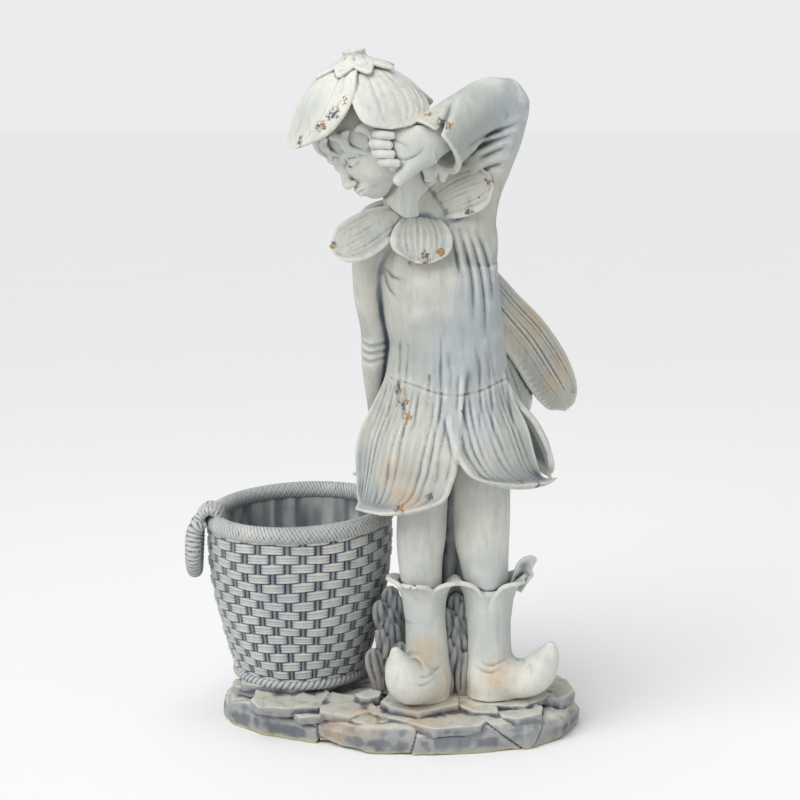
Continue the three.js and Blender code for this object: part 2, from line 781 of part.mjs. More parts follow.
const pieces = [
  rock(),
  ...slabs.map(slab),
  wovenCup(),
  ropeRing(basketRimRadius, rimRopeRadius, basketTop, 22, 3, 11),
  ropeRing(basketFootRadius + 1, footRopeRadius, basketBase + 0.6 * footRopeRadius, 16, 2, 8),
  handle(),
  ...body(),
  ...raisedArm(),
  ...raisedHand(),
  ...hangingArm(),
  ...legs(),
  ...boots(),
  ...bootCuffs(),
  ...skirt(),
  ...collar(),
  ...wings(),
  ...head(),
  ...hair(),
  ...hat(),
  ...growth(),
];

// Gives every triangle the number of the connected skin that it belongs to.
function skinNumbers(triangles, pointCount) {
  const parent = Array.from({ length: pointCount }, (_, i) => i);
  const top = (i) => {
    while (parent[i] !== i) i = parent[i] = parent[parent[i]];
    return i;
  };
  for (const [a, b, c] of triangles) {
    parent[top(a)] = top(b);
    parent[top(b)] = top(c);
  }
  return triangles.map(([a]) => top(a));
}

// The cast solid as a geometry: trimmed level below, and without the small voids that are left sealed
// where rounded pieces meet, so only its outer skin stays.
function castGeometry() {
  const room = new THREE.BoxGeometry(3 * baseWidth, 3 * baseWidth, 4 * figureHeight);
  room.translate(0, 0, 2 * figureHeight);
  const { numProp, vertProperties, triVerts } = join(pieces).intersect(solid(room)).getMesh();
  const points = Array.from({ length: vertProperties.length / numProp }, (_, i) =>
    vector(...vertProperties.subarray(i * numProp, i * numProp + 3)),
  );
  const triangles = Array.from({ length: triVerts.length / 3 }, (_, i) => [
    ...triVerts.subarray(3 * i, 3 * i + 3),
  ]);
  const numbers = skinNumbers(triangles, points.length);
  const volumes = new Map();
  triangles.forEach(([a, b, c], i) => {
    const volume = points[a].dot(points[b].clone().cross(points[c]));
    volumes.set(numbers[i], (volumes.get(numbers[i]) ?? 0) + volume);
  });
  const [outer] = [...volumes].sort((p, q) => q[1] - p[1])[0];
  const geometry = new THREE.BufferGeometry().setFromPoints(points);
  geometry.setIndex(triangles.filter((_, i) => numbers[i] === outer).flat());
  const whole = geometry.toNonIndexed();
  return mergeVertices(whole, 1e-4);
}

const castStone = new THREE.MeshStandardMaterial({ color: 0xc6cbc8, roughness: 0.85, metalness: 0 });
const statue = new THREE.Mesh(castGeometry(), castStone);
statue.name = "fairy_statue";

const garden = new THREE.Group();
garden.add(statue);

export default garden;
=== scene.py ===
import math

import bpy
import numpy as np
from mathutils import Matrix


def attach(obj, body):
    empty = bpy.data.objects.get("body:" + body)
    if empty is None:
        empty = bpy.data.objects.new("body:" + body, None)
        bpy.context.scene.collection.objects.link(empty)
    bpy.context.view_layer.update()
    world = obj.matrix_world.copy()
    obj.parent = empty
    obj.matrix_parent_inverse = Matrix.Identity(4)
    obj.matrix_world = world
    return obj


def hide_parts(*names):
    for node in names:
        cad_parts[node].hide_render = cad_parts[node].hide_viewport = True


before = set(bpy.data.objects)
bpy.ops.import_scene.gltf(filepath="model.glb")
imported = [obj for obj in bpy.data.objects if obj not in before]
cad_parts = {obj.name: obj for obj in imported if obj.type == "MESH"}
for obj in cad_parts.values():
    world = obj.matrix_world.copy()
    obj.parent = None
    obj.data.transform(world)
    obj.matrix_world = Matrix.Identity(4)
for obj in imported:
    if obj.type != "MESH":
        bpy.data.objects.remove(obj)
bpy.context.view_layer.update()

import openvdb
from mathutils import Vector

# Sizes in millimetres, as in the model: heights of the pose are above the basket's slab
SLAB_TOP = 53.0
SOLE_LEVEL = -6.0
WALL_HEIGHT = 26.0
ROCK_HEIGHT = 34.0
PETAL_THICKNESS = 6.0
WING_THICKNESS = 6.5

# The basket
BASKET = (-119.0, 40.0)
BASKET_HEIGHT = 197.0
BASKET_WALL = 12.0
BASKET_FLOOR = 14.0
RIM_RADIUS = 106.0
RIM_ROPE = 10.5
RIM_LEAN = (0.04, 0.045)
FOOT_RADIUS = 76.0
FOOT_ROPE = 5.0
WEAVE_STAKES = 38
WEAVE_ROWS = 17
WEAVE_RELIEF = 2.4
HANDLE_DROP = 70.0
HANDLE_ROPE = 9.5

# How far from a surface the distance fields know their distance
BAND = 10.0
# Rings of points that round off each end of a limb
CAP_RINGS = 7
# Above 1 the furrows of petals are narrower than the ridges between them
FURROW_SHARPNESS = 1.7
# Larger than every distance in the scene, and in front of every piece
FAR_AWAY = 1e9
IN_FRONT = -140
TAU = 2 * math.pi
# A millimetre in metres and a metre in millimetres, for what goes into Blender and comes back
MILLIMETRE = 0.001
METRE = 1000


# Curves and closed skins

def through(rows, t):
    """Smooth values through rows of numbers at t from 0 to 1."""
    rows = np.asarray(rows, float)
    last = len(rows) - 1
    t = np.clip(np.atleast_1d(np.asarray(t, float)), 0, 1) * last
    i = np.minimum(t.astype(int), last - 1)
    f = (t - i)[:, None]
    padded = np.vstack([2 * rows[0] - rows[1], rows, 2 * rows[-1] - rows[-2]])
    a, b, c, d = padded[i], padded[i + 1], padded[i + 2], padded[i + 3]
    bend = 2 * a - 5 * b + 4 * c - d
    return 0.5 * (2 * b + (c - a) * f + bend * f**2 + (3 * b - a - 3 * c + d) * f**3)


def unit(v):
    v = np.asarray(v, float)
    return v / np.maximum(np.linalg.norm(v, axis=-1, keepdims=True), 1e-9)


def skin(rings):
    """A closed mesh through rings of points: vertices, triangles and quads."""
    count, sides = rings.shape[:2]
    points = np.vstack([rings.reshape(-1, 3), rings[0].mean(0), rings[-1].mean(0)])
    i, j = np.meshgrid(np.arange(count - 1), np.arange(sides), indexing="ij")
    a = i * sides + j
    b = i * sides + (j + 1) % sides
    quads = np.stack([a, b, b + sides, a + sides], -1).reshape(-1, 4)
    k = np.arange(sides)
    n = (k + 1) % sides
    first = np.full(sides, count * sides)
    end = (count - 1) * sides
    start_cap = np.stack([first, n, k], -1)
    end_cap = np.stack([first + 1, end + k, end + n], -1)
    triangles = np.vstack([start_cap, end_cap])
    fan = np.vstack([triangles, quads[:, [0, 1, 2]], quads[:, [0, 2, 3]]])
    volume = np.einsum("ij,ij->i", points[fan[:, 0]], np.cross(points[fan[:, 1]], points[fan[:, 2]])).sum()
    if volume < 0:
        triangles = triangles[:, ::-1]
        quads = quads[:, ::-1]
    return points, triangles, quads


def posed(points):
    """Moves points of the pose up by the slab that the figure stands on."""
    return np.asarray(points, float) + (0, 0, SLAB_TOP)


def limb(stations, front=(0, -1, 0), sides=40, step=2.0, caps=(0.6, 0.6), relief=None):
    """A rounded limb along [x, y, z, half width, half depth] stations; front is its depth's direction."""
    rows = np.asarray(stations, float)
    length = np.linalg.norm(np.diff(rows[:, :3], axis=0), axis=1).sum()
    count = max(6, int(length / step))
    t = np.linspace(0, 1, count + 1)
    shrink = np.ones_like(t)
    slide = np.zeros_like(t)
    rounding = np.linspace(math.pi / 2, 0, CAP_RINGS + 1)[:-1]
    if caps[0]:
        t = np.concatenate([np.zeros(CAP_RINGS), t])
        shrink = np.concatenate([np.maximum(np.cos(rounding), 0.05), shrink])
        slide = np.concatenate([-caps[0] * np.sin(rounding), slide])
    if caps[1]:
        t = np.concatenate([t, np.ones(CAP_RINGS)])
        shrink = np.concatenate([shrink, np.maximum(np.cos(rounding[::-1]), 0.05)])
        slide = np.concatenate([slide, caps[1] * np.sin(rounding[::-1])])
    at = through(rows, t)
    ahead = unit(through(rows, t + 0.01)[:, :3] - through(rows, t - 0.01)[:, :3])
    across = unit(np.cross(np.asarray(front, float), ahead))
    deep = unit(np.cross(ahead, across))
    centre = at[:, :3] + ahead * (slide * at[:, 3:5].min(1))[:, None]
    angle = np.arange(sides) / sides * TAU
    size = shrink[:, None] * (1 + (relief(angle[None, :], t[:, None]) if relief else 0))
    wide = (at[:, 3:4] * size * np.cos(angle))[..., None]
    thick = (at[:, 4:5] * size * np.sin(angle))[..., None]
    return skin(posed(centre[:, None] + across[:, None] * wide - deep[:, None] * thick))


def egg(centre, sizes, axes=((1, 0, 0), (0, 1, 0), (0, 0, 1)), detail=28):
    """An egg shape at a place of the pose, with half sizes along three directions."""
    turns = np.arange(2 * detail) / detail * math.pi
    turn, tilt = np.meshgrid(turns, np.linspace(0.02, math.pi - 0.02, detail))
    local = np.stack([np.sin(tilt) * np.cos(turn), np.sin(tilt) * np.sin(turn), np.cos(tilt)], -1) * sizes
    return skin(posed(local @ np.asarray(axes, float) + np.asarray(centre, float)))


def across_and_back(columns, rim=7):
    """Places round a petal's section: s from -1 to 1 on its face, back inside, with rounded edges."""
    face = np.linspace(-1, 1, columns)
    edge = np.linspace(math.pi / 2, -math.pi / 2, rim)[1:-1]
    s = np.concatenate([face, np.ones(rim - 2), face[::-1], -np.ones(rim - 2)])
    side = np.concatenate([np.ones(columns), np.sin(edge), -np.ones(columns), np.sin(edge[::-1])])
    over = np.concatenate([np.zeros(columns), np.cos(edge), np.zeros(columns), -np.cos(edge)])
    return s, side, over


def furrows(s, t, flutes, depth, wobble=0.0):
    """Depths of hand-drawn grooves across a petal: none on the ridges, all of it in the furrows."""
    drawn = s + 0.02 * np.sin(6 * t + 7 * s) + wobble * np.sin(19 * t + 23 * s)
    uneven = 0.66 + 0.34 * np.sin(11 * s + 3 * t)
    return depth * (0.5 - 0.5 * np.cos(drawn * flutes * TAU / 2)) ** FURROW_SHARPNESS * uneven


class PetalFrame:
    """Where petals wrap: heights run along up, and angle 0 points as near to the front as it can."""

    def __init__(self, origin, up, stretch=(1.0, 1.0)):
        self.origin = posed(origin)
        self.up = unit(up)
        self.side = -unit(np.cross((0, -1, 0), self.up))
        self.out = unit(np.cross(self.side, self.up))
        self.stretch = stretch


def petal(wrap_frame, turn, stations, skew=0.0, sweep=2, flutes=0, groove=0.0, thickness=PETAL_THICKNESS,
          lip=0.0, rows=70, columns=90, ripple=0.0):
    """A petal round a frame's axis through [radius, height, half width] stations from root to tip."""
    t = np.linspace(0, 1, rows)
    at = through(stations, t)
    near = through(stations, t - 0.02)
    far = through(stations, t + 0.02)
    run = np.hypot(far[:, 0] - near[:, 0], far[:, 1] - near[:, 1])
    lean_out = (near[:, 1] - far[:, 1]) / run
    lean_up = (far[:, 0] - near[:, 0]) / run
    s, side, over = across_and_back(columns)
    half = thickness / 2 * np.minimum(1, 0.7 + 2.2 * (1 - t))
    fade = np.clip(np.sin(np.minimum(1, t * 1.12) * math.pi), 0, 1) ** 0.6
    depth = furrows(s, t[:, None], flutes, groove * fade[:, None], wobble=0.008) * (side > 0)
    curl = lip * np.clip((np.abs(s) - 0.76) / 0.24, 0, 1) ** 2 * fade[:, None]
    curl = curl + 1.6 * lip * np.clip((t - 0.84) / 0.16, 0, 1)[:, None] ** 2
    wave = ripple * np.sin(t * 9 + turn)[:, None] * np.sign(s) * np.abs(s) ** 3
    offset = half[:, None] * side - depth + curl + wave
    width = at[:, 2:3] * s + half[:, None] * over
    radius = at[:, 0:1] + offset * lean_out[:, None]
    height = at[:, 1:2] + offset * lean_up[:, None]
    angle = np.radians(turn + skew * t**sweep)[:, None] + width / np.maximum(at[:, 0:1], at[:, 2:3] * 0.5)
    points = wrap_frame.origin + wrap_frame.up * height[..., None]
    points = points + wrap_frame.out * (radius * wrap_frame.stretch[1] * np.cos(angle))[..., None]
    points = points + wrap_frame.side * (radius * wrap_frame.stretch[0] * np.sin(angle))[..., None]
    return skin(points)


def blade(stations, out, thickness=PETAL_THICKNESS, cup=0.0, flutes=0, groove=0.0, lip=0.0, rows=80,
          columns=70, margin=0.0, both=False):
    """A free petal, leaf or wing along [x, y, z, half width] stations, facing the way that out points."""
    t = np.linspace(0, 1, rows)
    at = through(stations, t)
    ahead = unit(through(stations, t + 0.02)[:, :3] - through(stations, t - 0.02)[:, :3])
    side_way = unit(np.cross(ahead, np.asarray(out, float)))
    normal = unit(np.cross(side_way, ahead))
    s, side, over = across_and_back(columns)
    half = thickness / 2 * np.minimum(1, 0.5 + 2.5 * (1 - t))
    fade = np.clip(np.sin(t * math.pi), 0, 1) ** 0.5
    carved = np.ones_like(side) if both else (side > 0)
    depth = furrows(s, t[:, None], flutes, groove * fade[:, None]) * carved * np.sign(side)
    if margin:
        edge = np.maximum(margin * s, t[:, None] - 0.35)
        turned = np.clip((edge - 0.48) / 0.08, 0, 1)
        low_end = np.clip(3 * t - 1.2, 0, 1)[:, None]
        ribs = 0.9 * low_end * (0.5 - 0.5 * np.sin(230 * t[:, None] + 9 * s))
        ribs = ribs + 0.9 * np.clip(6 - 6 * t, 0, 1)[:, None]
        depth = depth * (1 - turned) + turned * ribs * (side > 0)
    curl = lip * np.clip((np.abs(s) - 0.7) / 0.3, 0, 1) ** 2
    curl = curl + lip * np.clip((t - 0.85) / 0.15, 0, 1)[:, None] ** 2
    w = at[:, 3:4]
    offset = half[:, None] * side - depth + cup * w * s**2 + curl
    width = w * s + half[:, None] * over
    points = at[:, None, :3] + side_way[:, None] * width[..., None] + normal[:, None] * offset[..., None]
    return skin(posed(points))


# Distance fields, in which pieces are blended, cut and creased

# Each carved piece: two corners of its block, the size of a cell, and about how many triangles it keeps
PIECES = {
    "stone_base": ((-232, -146, -4), (236, 146, 66), 1.3, 130000),
    "legs_and_boots": ((-34, -136, 40), (198, 40, 352), 1.25, 90000),
    "leaf_growth": ((-40, -66, 40), (130, 56, 330), 1.1, 90000),
    "body": ((-112, -132, 262), (186, 62, 778), 1.3, 190000),
    "wings": ((-40, -30, 340), (240, 186, 592), 1.15, 90000),
    "head_and_hat": ((-126, -142, 604), (66, 46, 806), 0.95, 190000),
}


class Field:
    """A block of distances to a surface, in millimetres, negative inside."""

    def __init__(self, name):
        self.name = name
        low, high, self.voxel, self.triangles = PIECES[name]
        self.low = np.floor(np.asarray(low) / self.voxel).astype(int)
        top = np.ceil(np.asarray(high) / self.voxel).astype(int)
        self.data = np.full(tuple(top - self.low + 1), BAND, np.float32)

    def block(self, shape):
        """A shape's own distances, with the slices of this field that they fill."""
        points, triangles, quads = shape
        transform = openvdb.createLinearTransform(voxelSize=self.voxel)
        grid = openvdb.FloatGrid.createLevelSetFromPolygons(
            points.astype(np.float32),
            triangles=triangles.astype(np.uint32),
            quads=quads.astype(np.uint32),
            transform=transform,
            halfWidth=BAND / self.voxel,
        )
        low, high = grid.evalActiveVoxelBoundingBox()
        low = np.maximum(np.array(low), self.low)
        high = np.minimum(np.array(high), self.low + np.array(self.data.shape) - 1)
        values = np.empty(tuple(np.maximum(high - low + 1, 1)), np.float32)
        grid.copyToArray(values, ijk=tuple(int(v) for v in low))
        start = low - self.low
        place = tuple(slice(a, a + n) for a, n in zip(start, values.shape))
        return values, place

    def add(self, shape, blend=0.0, sign=1):
        """Joins a shape on with a rounded seam, or with sign -1 takes it away."""
        values, place = self.block(shape)
        here = sign * self.data[place]
        joined = np.minimum(here, values)
        if blend:
            near = np.clip(blend - np.abs(here - values), 0, None)
            joined = joined - near * near / (4 * blend)
        self.data[place] = sign * joined

    def cut(self, shape, blend=0.0):
        self.add(shape, blend, sign=-1)

    def axis(self, k):
        shape = [1, 1, 1]
        shape[k] = -1
        return ((self.low[k] + np.arange(self.data.shape[k])) * self.voxel).reshape(shape)

    def crease(self, path, width, depth, back):
        """Presses a groove in along a path of [x, height] points, seen from the front, down to a depth."""
        path = np.asarray(path, float)
        length = np.linalg.norm(np.diff(path, axis=0), axis=1).sum()
        path = through(path, np.linspace(0, 1, max(12, int(2.5 * length / width))))
        path[:, 1] += SLAB_TOP
        reach = 3 * width
        low_x, low_z = path.min(0) - reach
        high_x, high_z = path.max(0) + reach
        start = np.floor(np.array([low_x, IN_FRONT, low_z]) / self.voxel).astype(int) - self.low
        stop = np.ceil(np.array([high_x, back, high_z]) / self.voxel).astype(int) - self.low + 1
        stop = np.minimum(stop, self.data.shape)
        place = tuple(slice(a, b) for a, b in zip(np.maximum(start, 0), stop))
        x = self.axis(0).reshape(-1, 1)[place[0]]
        z = self.axis(2).reshape(1, -1)[:, place[2]]
        strength = np.zeros((x.size, z.size))
        taper = np.sin(np.linspace(0.06, 0.94, len(path)) * math.pi) ** 0.7
        for (path_x, path_z), size in zip(path, taper):
            gap = (x - path_x) ** 2 + (z - path_z) ** 2
            strength = np.maximum(strength, size * np.exp(-gap / (width * width)))
        self.data[place] += (depth * strength)[:, None].astype(np.float32)

    def roughen(self, cell, depth, seed, high=FAR_AWAY):
        """Adds uneven noise of one size to the surface, below a height."""
        noise = noise_block(self.data.shape, cell / self.voxel, seed)
        noise *= (self.axis(2) < high) * depth
        self.data += noise.astype(np.float32)

    def blocks(self, cell, depth, width, shift, seed):
        """Breaks the surface into uneven blocks, with cracks between them."""
        random = np.random.RandomState(seed)
        index = np.argwhere(np.abs(self.data) < 7)
        at = ((index + self.low) * self.voxel).astype(np.float32)
        counts = [int(math.ceil(n * self.voxel / c)) + 1 for n, c in zip(self.data.shape, cell)]
        seeds = np.argwhere(np.ones(counts, bool)) + random.uniform(-0.4, 0.4, (int(np.prod(counts)), 3))
        seeds = (seeds * cell + self.low * self.voxel).astype(np.float32)
        shifts = random.uniform(-shift, shift, len(seeds)).astype(np.float32)
        best = np.full(len(at), FAR_AWAY, np.float32)
        second = best.copy()
        change = np.zeros(len(at), np.float32)
        for place, moved in zip(seeds, shifts):
            gap = np.sqrt(((at - place) ** 2).sum(1))
            closer = gap < best
            second = np.where(closer, best, np.minimum(second, gap))
            best = np.where(closer, gap, best)
            change = np.where(closer, moved, change)
        change += depth * np.exp(-(((second - best) / width) ** 2))
        self.data[index[:, 0], index[:, 1], index[:, 2]] += change

    def surface(self):
        """The surface as vertices in millimetres and faces of four."""
        for k in range(3):
            for side in (0, -1):
                place = [slice(None)] * 3
                place[k] = side
                place = tuple(place)
                self.data[place] = np.maximum(self.data[place], self.voxel)
        grid = openvdb.FloatGrid(BAND)
        grid.copyFromArray(self.data, ijk=tuple(int(v) for v in self.low))
        grid.transform = openvdb.createLinearTransform(voxelSize=self.voxel)
        return grid.convertToQuads(isovalue=0.0)


def noise_block(shape, cell, seed):
    """Smooth noise from -1 to 1 with features of the given size in cells."""
    random = np.random.RandomState(seed)
    block = random.uniform(-1, 1, [int(n / cell) + 3 for n in shape])
    for k, n in enumerate(shape):
        at = np.arange(n) / cell
        i = at.astype(int)
        f = at - i
        f = f * f * (3 - 2 * f)
        spread = [1, 1, 1]
        spread[k] = -1
        f = f.reshape(spread)
        block = np.take(block, i, axis=k) * (1 - f) + np.take(block, i + 1, axis=k) * f
    return block


def blurred(data, reach):
    """A box blur repeated twice along each axis."""
    for k in list(range(3)) * 2:
        padded = np.pad(data, [(reach + 1, reach) if a == k else (0, 0) for a in range(3)], mode="edge")
        total = np.cumsum(padded, axis=k, dtype=np.float32)
        high = np.take(total, np.arange(2 * reach + 1, total.shape[k]), axis=k)
        low = np.take(total, np.arange(0, total.shape[k] - 2 * reach - 1), axis=k)
        data = (high - low) / (2 * reach + 1)
    return data


def sampled(block, low, voxel, points):
    """Values of a block at points, taken from the nearest cell."""
    index = np.rint(points / voxel).astype(int) - low
    index = np.clip(index, 0, np.array(block.shape) - 1)
    return block[index[:, 0], index[:, 1], index[:, 2]]


# Blender meshes

def new_mesh(name, points, quads, triangles=None):
    """A Blender mesh from vertices in millimetres."""
    mesh = bpy.data.meshes.new(name)
    faces = [quads] if triangles is None else [quads, triangles]
    loops = np.concatenate([f.reshape(-1) for f in faces]).astype(np.int32)
    sizes = np.concatenate([np.full(len(f), f.shape[1]) for f in faces]).astype(np.int32)
    starts = np.concatenate([[0], np.cumsum(sizes)[:-1]]).astype(np.int32)
    mesh.vertices.add(len(points))
    mesh.vertices.foreach_set("co", (points * MILLIMETRE).astype(np.float32).reshape(-1))
    mesh.loops.add(len(loops))
    mesh.loops.foreach_set("vertex_index", loops)
    mesh.polygons.add(len(sizes))
    mesh.polygons.foreach_set("loop_start", starts)
    mesh.update(calc_edges=True)
    mesh.polygons.foreach_set("use_smooth", np.ones(len(sizes), bool))
    return mesh


def show(name, data, place=(0, 0, 0)):
    """Puts a mesh, lamp or camera in the scene."""
    thing = bpy.data.objects.new(name, data)
    thing.location = place
    bpy.context.scene.collection.objects.link(thing)
    return thing


def read_points(source, name):
    """One vector for each vertex, such as its place or its normal."""
    flat = np.empty(len(source) * 3, np.float32)
    source.foreach_get(name, flat)
    return flat.reshape(-1, 3)


def thinned(mesh, target):
    """A mesh of quads reduced to about a target number of triangles, most where it is flat."""
    triangles = 2 * len(mesh.polygons)
    if triangles <= target:
        return mesh
    holder = show(mesh.name, mesh)
    modifier = holder.modifiers.new("thin", "DECIMATE")
    modifier.ratio = target / triangles
    graph = bpy.context.evaluated_depsgraph_get()
    result = bpy.data.meshes.new_from_object(holder.evaluated_get(graph))
    bpy.data.objects.remove(holder)
    result.polygons.foreach_set("use_smooth", np.ones(len(result.polygons), bool))
    return result


def store(mesh, name, values):
    layer = mesh.attributes.new(name, "FLOAT", "POINT")
    layer.data.foreach_set("value", np.asarray(values, np.float32))


def spots(points, places):
    """How near points are to [x, y, z, reach] places: 1 at a place, fading to 0."""
    value = np.zeros(len(points))
    for x, y, z, reach in places:
        gap = ((points - (x, y, z)) ** 2).sum(1)
        value = np.maximum(value, np.exp(-((gap / (reach * reach)) ** 2)))
    return value


# Places of wear and tint, and of painted cool shade, as [x, y, z, reach] from the middle of the base's
# underside

CHIPS = [
    (-82, -119, 715, 11), (-68, -121, 729, 12), (-56, -118, 743, 10), (-104, -100, 699, 10),
    (34, -108, 728, 9), (49, -120, 721, 10), (56, -118, 716, 8), (104, -72, 654, 9), (81, -82, 620, 7),
    (12, -90, 564, 9), (31, -102, 570, 11), (48, -100, 578, 8), (-72, -93, 585, 8),
    (1, -74, 421, 11), (6, -83, 406, 13), (12, -93, 389, 9), (72, -102, 398, 7), (68, -110, 379, 7),
    (65, -114, 356, 6), (3, -112, 287, 10), (37, -118, 303, 8), (160, -86, 309, 10), (140, -98, 315, 7),
    (222, 92, 392, 10), (219, 88, 372, 9), (206, 70, 430, 7), (19, -90, 190, 8), (30, -78, 186, 8),
    (40, -77, 93, 6), (50, -95, 50, 6),
]
OCHRE = [
    (-3, -103, 320, 24), (9, -111, 298, 24), (32, -77, 105, 24), (120, -72, 80, 22), (62, -72, 46, 32),
    (32, -103, 45, 24), (170, 40, 480, 40), (196, 70, 420, 30), (-79, -97, 15, 22), (-10, -28, 80, 26),
    (-40, -100, 40, 30), (20, -110, 20, 14),
]
# Painted cool shade on the side away from the light: the torso's right side, the raised elbow and the skirt
# below
COOL_SHADE = [
    (82, -87, 466, 50), (93, -78, 522, 40), (137, -65, 723, 40), (150, -60, 690, 40), (82, -105, 389, 40),
]


def hollows(mesh, at):
    """How far each vertex lies under the surface round it, in millimetres, finely and more widely."""
    ends = np.empty(len(mesh.edges) * 2, np.int32)
    mesh.edges.foreach_get("vertices", ends)
    a, b = ends.reshape(-1, 2).T
    normals = read_points(mesh.vertices, "normal")
    count = np.maximum(np.bincount(ends, minlength=len(at)), 1)

    def relaxed(values, rounds):
        for _ in range(rounds):
            total = np.empty_like(values)
            for k in range(values.shape[1]):
                total[:, k] = np.bincount(a, values[b, k], len(at))
                total[:, k] += np.bincount(b, values[a, k], len(at))
            values = 0.5 * values + 0.5 * total / count[:, None]
        return values

    near = relaxed(at.astype(float), 5)
    far = relaxed(near, 30)
    depths = np.stack([((near - at) * normals).sum(1), ((far - at) * normals).sum(1)], -1)
    return relaxed(depths, 3).T


# Depths in millimetres at which a fine and a wide hollow hold all their wash and painted shade
FINE_DEPTH = 0.34
WIDE_DEPTH = 1.8
# The share of solid round a place from which it counts as an inside corner, and how dark the painted shade
# there gets
CORNER_START = 0.54
CORNER_DARKNESS = 3.6
# How many cells away solid still counts as being round a place
CORNER_REACH = 11


def finished(field, material):
    """Makes a piece from a field: thins it, stores its hollows, its inside corners for painted shade, its
    wear and tints and its painted cool shade, and gives it to the casting.
    """
    points, quads = field.surface()
    mesh = thinned(new_mesh(field.name, points, quads), field.triangles)
    at = read_points(mesh.vertices, "co") * METRE
    solid = np.clip(0.5 - field.data / (2 * field.voxel), 0, 1)
    corner = sampled(blurred(solid, CORNER_REACH), field.low, field.voxel, at)
    fine, wide = hollows(mesh, at)
    # Inside corners, such as where an arm meets the torso or under the collar, get painted shade
    painted_corner_shade = CORNER_DARKNESS * np.clip(corner - CORNER_START, 0, 1)
    placed(field.name, mesh, at, fine / FINE_DEPTH, wide / WIDE_DEPTH + painted_corner_shade, material)


def placed(name, mesh, at, fine, wide, material):
    """Stores what the paint needs to know at each vertex, and hangs the piece on the casting."""
    store(mesh, "fine_hollow", fine)
    store(mesh, "wide_hollow", wide)
    for mark, places in (("chips", CHIPS), ("ochre", OCHRE), ("cool_shade", COOL_SHADE)):
        store(mesh, mark, spots(at, places))
    mesh.materials.append(material)
    piece = show(name, mesh)
    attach(piece, "root")
    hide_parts("fairy_statue")


# Paint

class Nodes:
    """Small helpers that add and link shader nodes."""

    def __init__(self, name):
        self.material = bpy.data.materials.new(name)
        self.material.use_nodes = True
        self.tree = self.material.node_tree
        self.shader = self.tree.nodes["Principled BSDF"]
        self.place = self.add("ShaderNodeTexCoord").outputs["Object"]

    def add(self, kind, **settings):
        node = self.tree.nodes.new(kind)
        for key, value in settings.items():
            setattr(node, key, value)
        return node

    def link(self, source, target):
        if isinstance(source, (int, float, tuple)):
            target.default_value = source
        else:
            self.tree.links.new(source, target)

    def attribute(self, name):
        return self.add("ShaderNodeAttribute", attribute_name=name).outputs["Fac"]

    def noise(self, scale, detail=4.0, roughness=0.6, stretch=(1, 1, 1)):
        mapping = self.add("ShaderNodeMapping")
        mapping.inputs["Scale"].default_value = stretch
        self.link(self.place, mapping.inputs["Vector"])
        node = self.add("ShaderNodeTexNoise")
        self.link(mapping.outputs[0], node.inputs["Vector"])
        node.inputs["Scale"].default_value = scale
        node.inputs["Detail"].default_value = detail
        node.inputs["Roughness"].default_value = roughness
        return node.outputs["Fac"]

    def maths(self, operation, a, b):
        node = self.add("ShaderNodeMath", operation=operation)
        self.link(a, node.inputs[0])
        self.link(b, node.inputs[1])
        return node.outputs[0]

    def plus(self, a, b, share=1.0):
        return self.maths("ADD", a, b if share == 1.0 else self.maths("MULTIPLY", b, share))

    def centred(self, noise):
        return self.maths("SUBTRACT", noise, 0.5)

    def part(self, output, axis):
        node = self.add("ShaderNodeSeparateXYZ")
        self.link(self.add("ShaderNodeNewGeometry").outputs[output], node.inputs[0])
        return node.outputs[axis]

    def between(self, value, low, high):
        node = self.add("ShaderNodeMapRange", interpolation_type="SMOOTHSTEP")
        self.link(value, node.inputs["Value"])
        node.inputs["From Min"].default_value = low
        node.inputs["From Max"].default_value = high
        return node.outputs["Result"]

    def mix(self, share, under, over):
        node = self.add("ShaderNodeMix", data_type="RGBA")
        self.link(share, node.inputs["Factor"])
        self.link(under, node.inputs["A"])
        self.link(over, node.inputs["B"])
        return node.outputs["Result"]

    def coat(self, under, colour, share, strength=1.0):
        """A plain colour laid over what is under it."""
        if strength < 1.0:
            share = self.maths("MULTIPLY", share, strength)
        return self.mix(share, under, (*colour, 1))


# Tints of the paint, a painted cool shade, and the two colours of bare cast where it has chipped off
COOL_SHADE_TINT = (0.42, 0.49, 0.58)
OCHRE_TINT = (0.52, 0.36, 0.20)
MOSS_TINT = (0.42, 0.37, 0.13)
RUBBED_TINT = (0.76, 0.75, 0.69)
BARE_BROWN = (0.33, 0.18, 0.05)
BARE_GREY = (0.12, 0.11, 0.13)
# Heights in metres between which the stone's foot goes from mossy to clean
MOSS_FOOT = (0.007, 0.002)
# How far the paint's fine bumps stand up, in metres
BUMP_HEIGHT = 0.0012


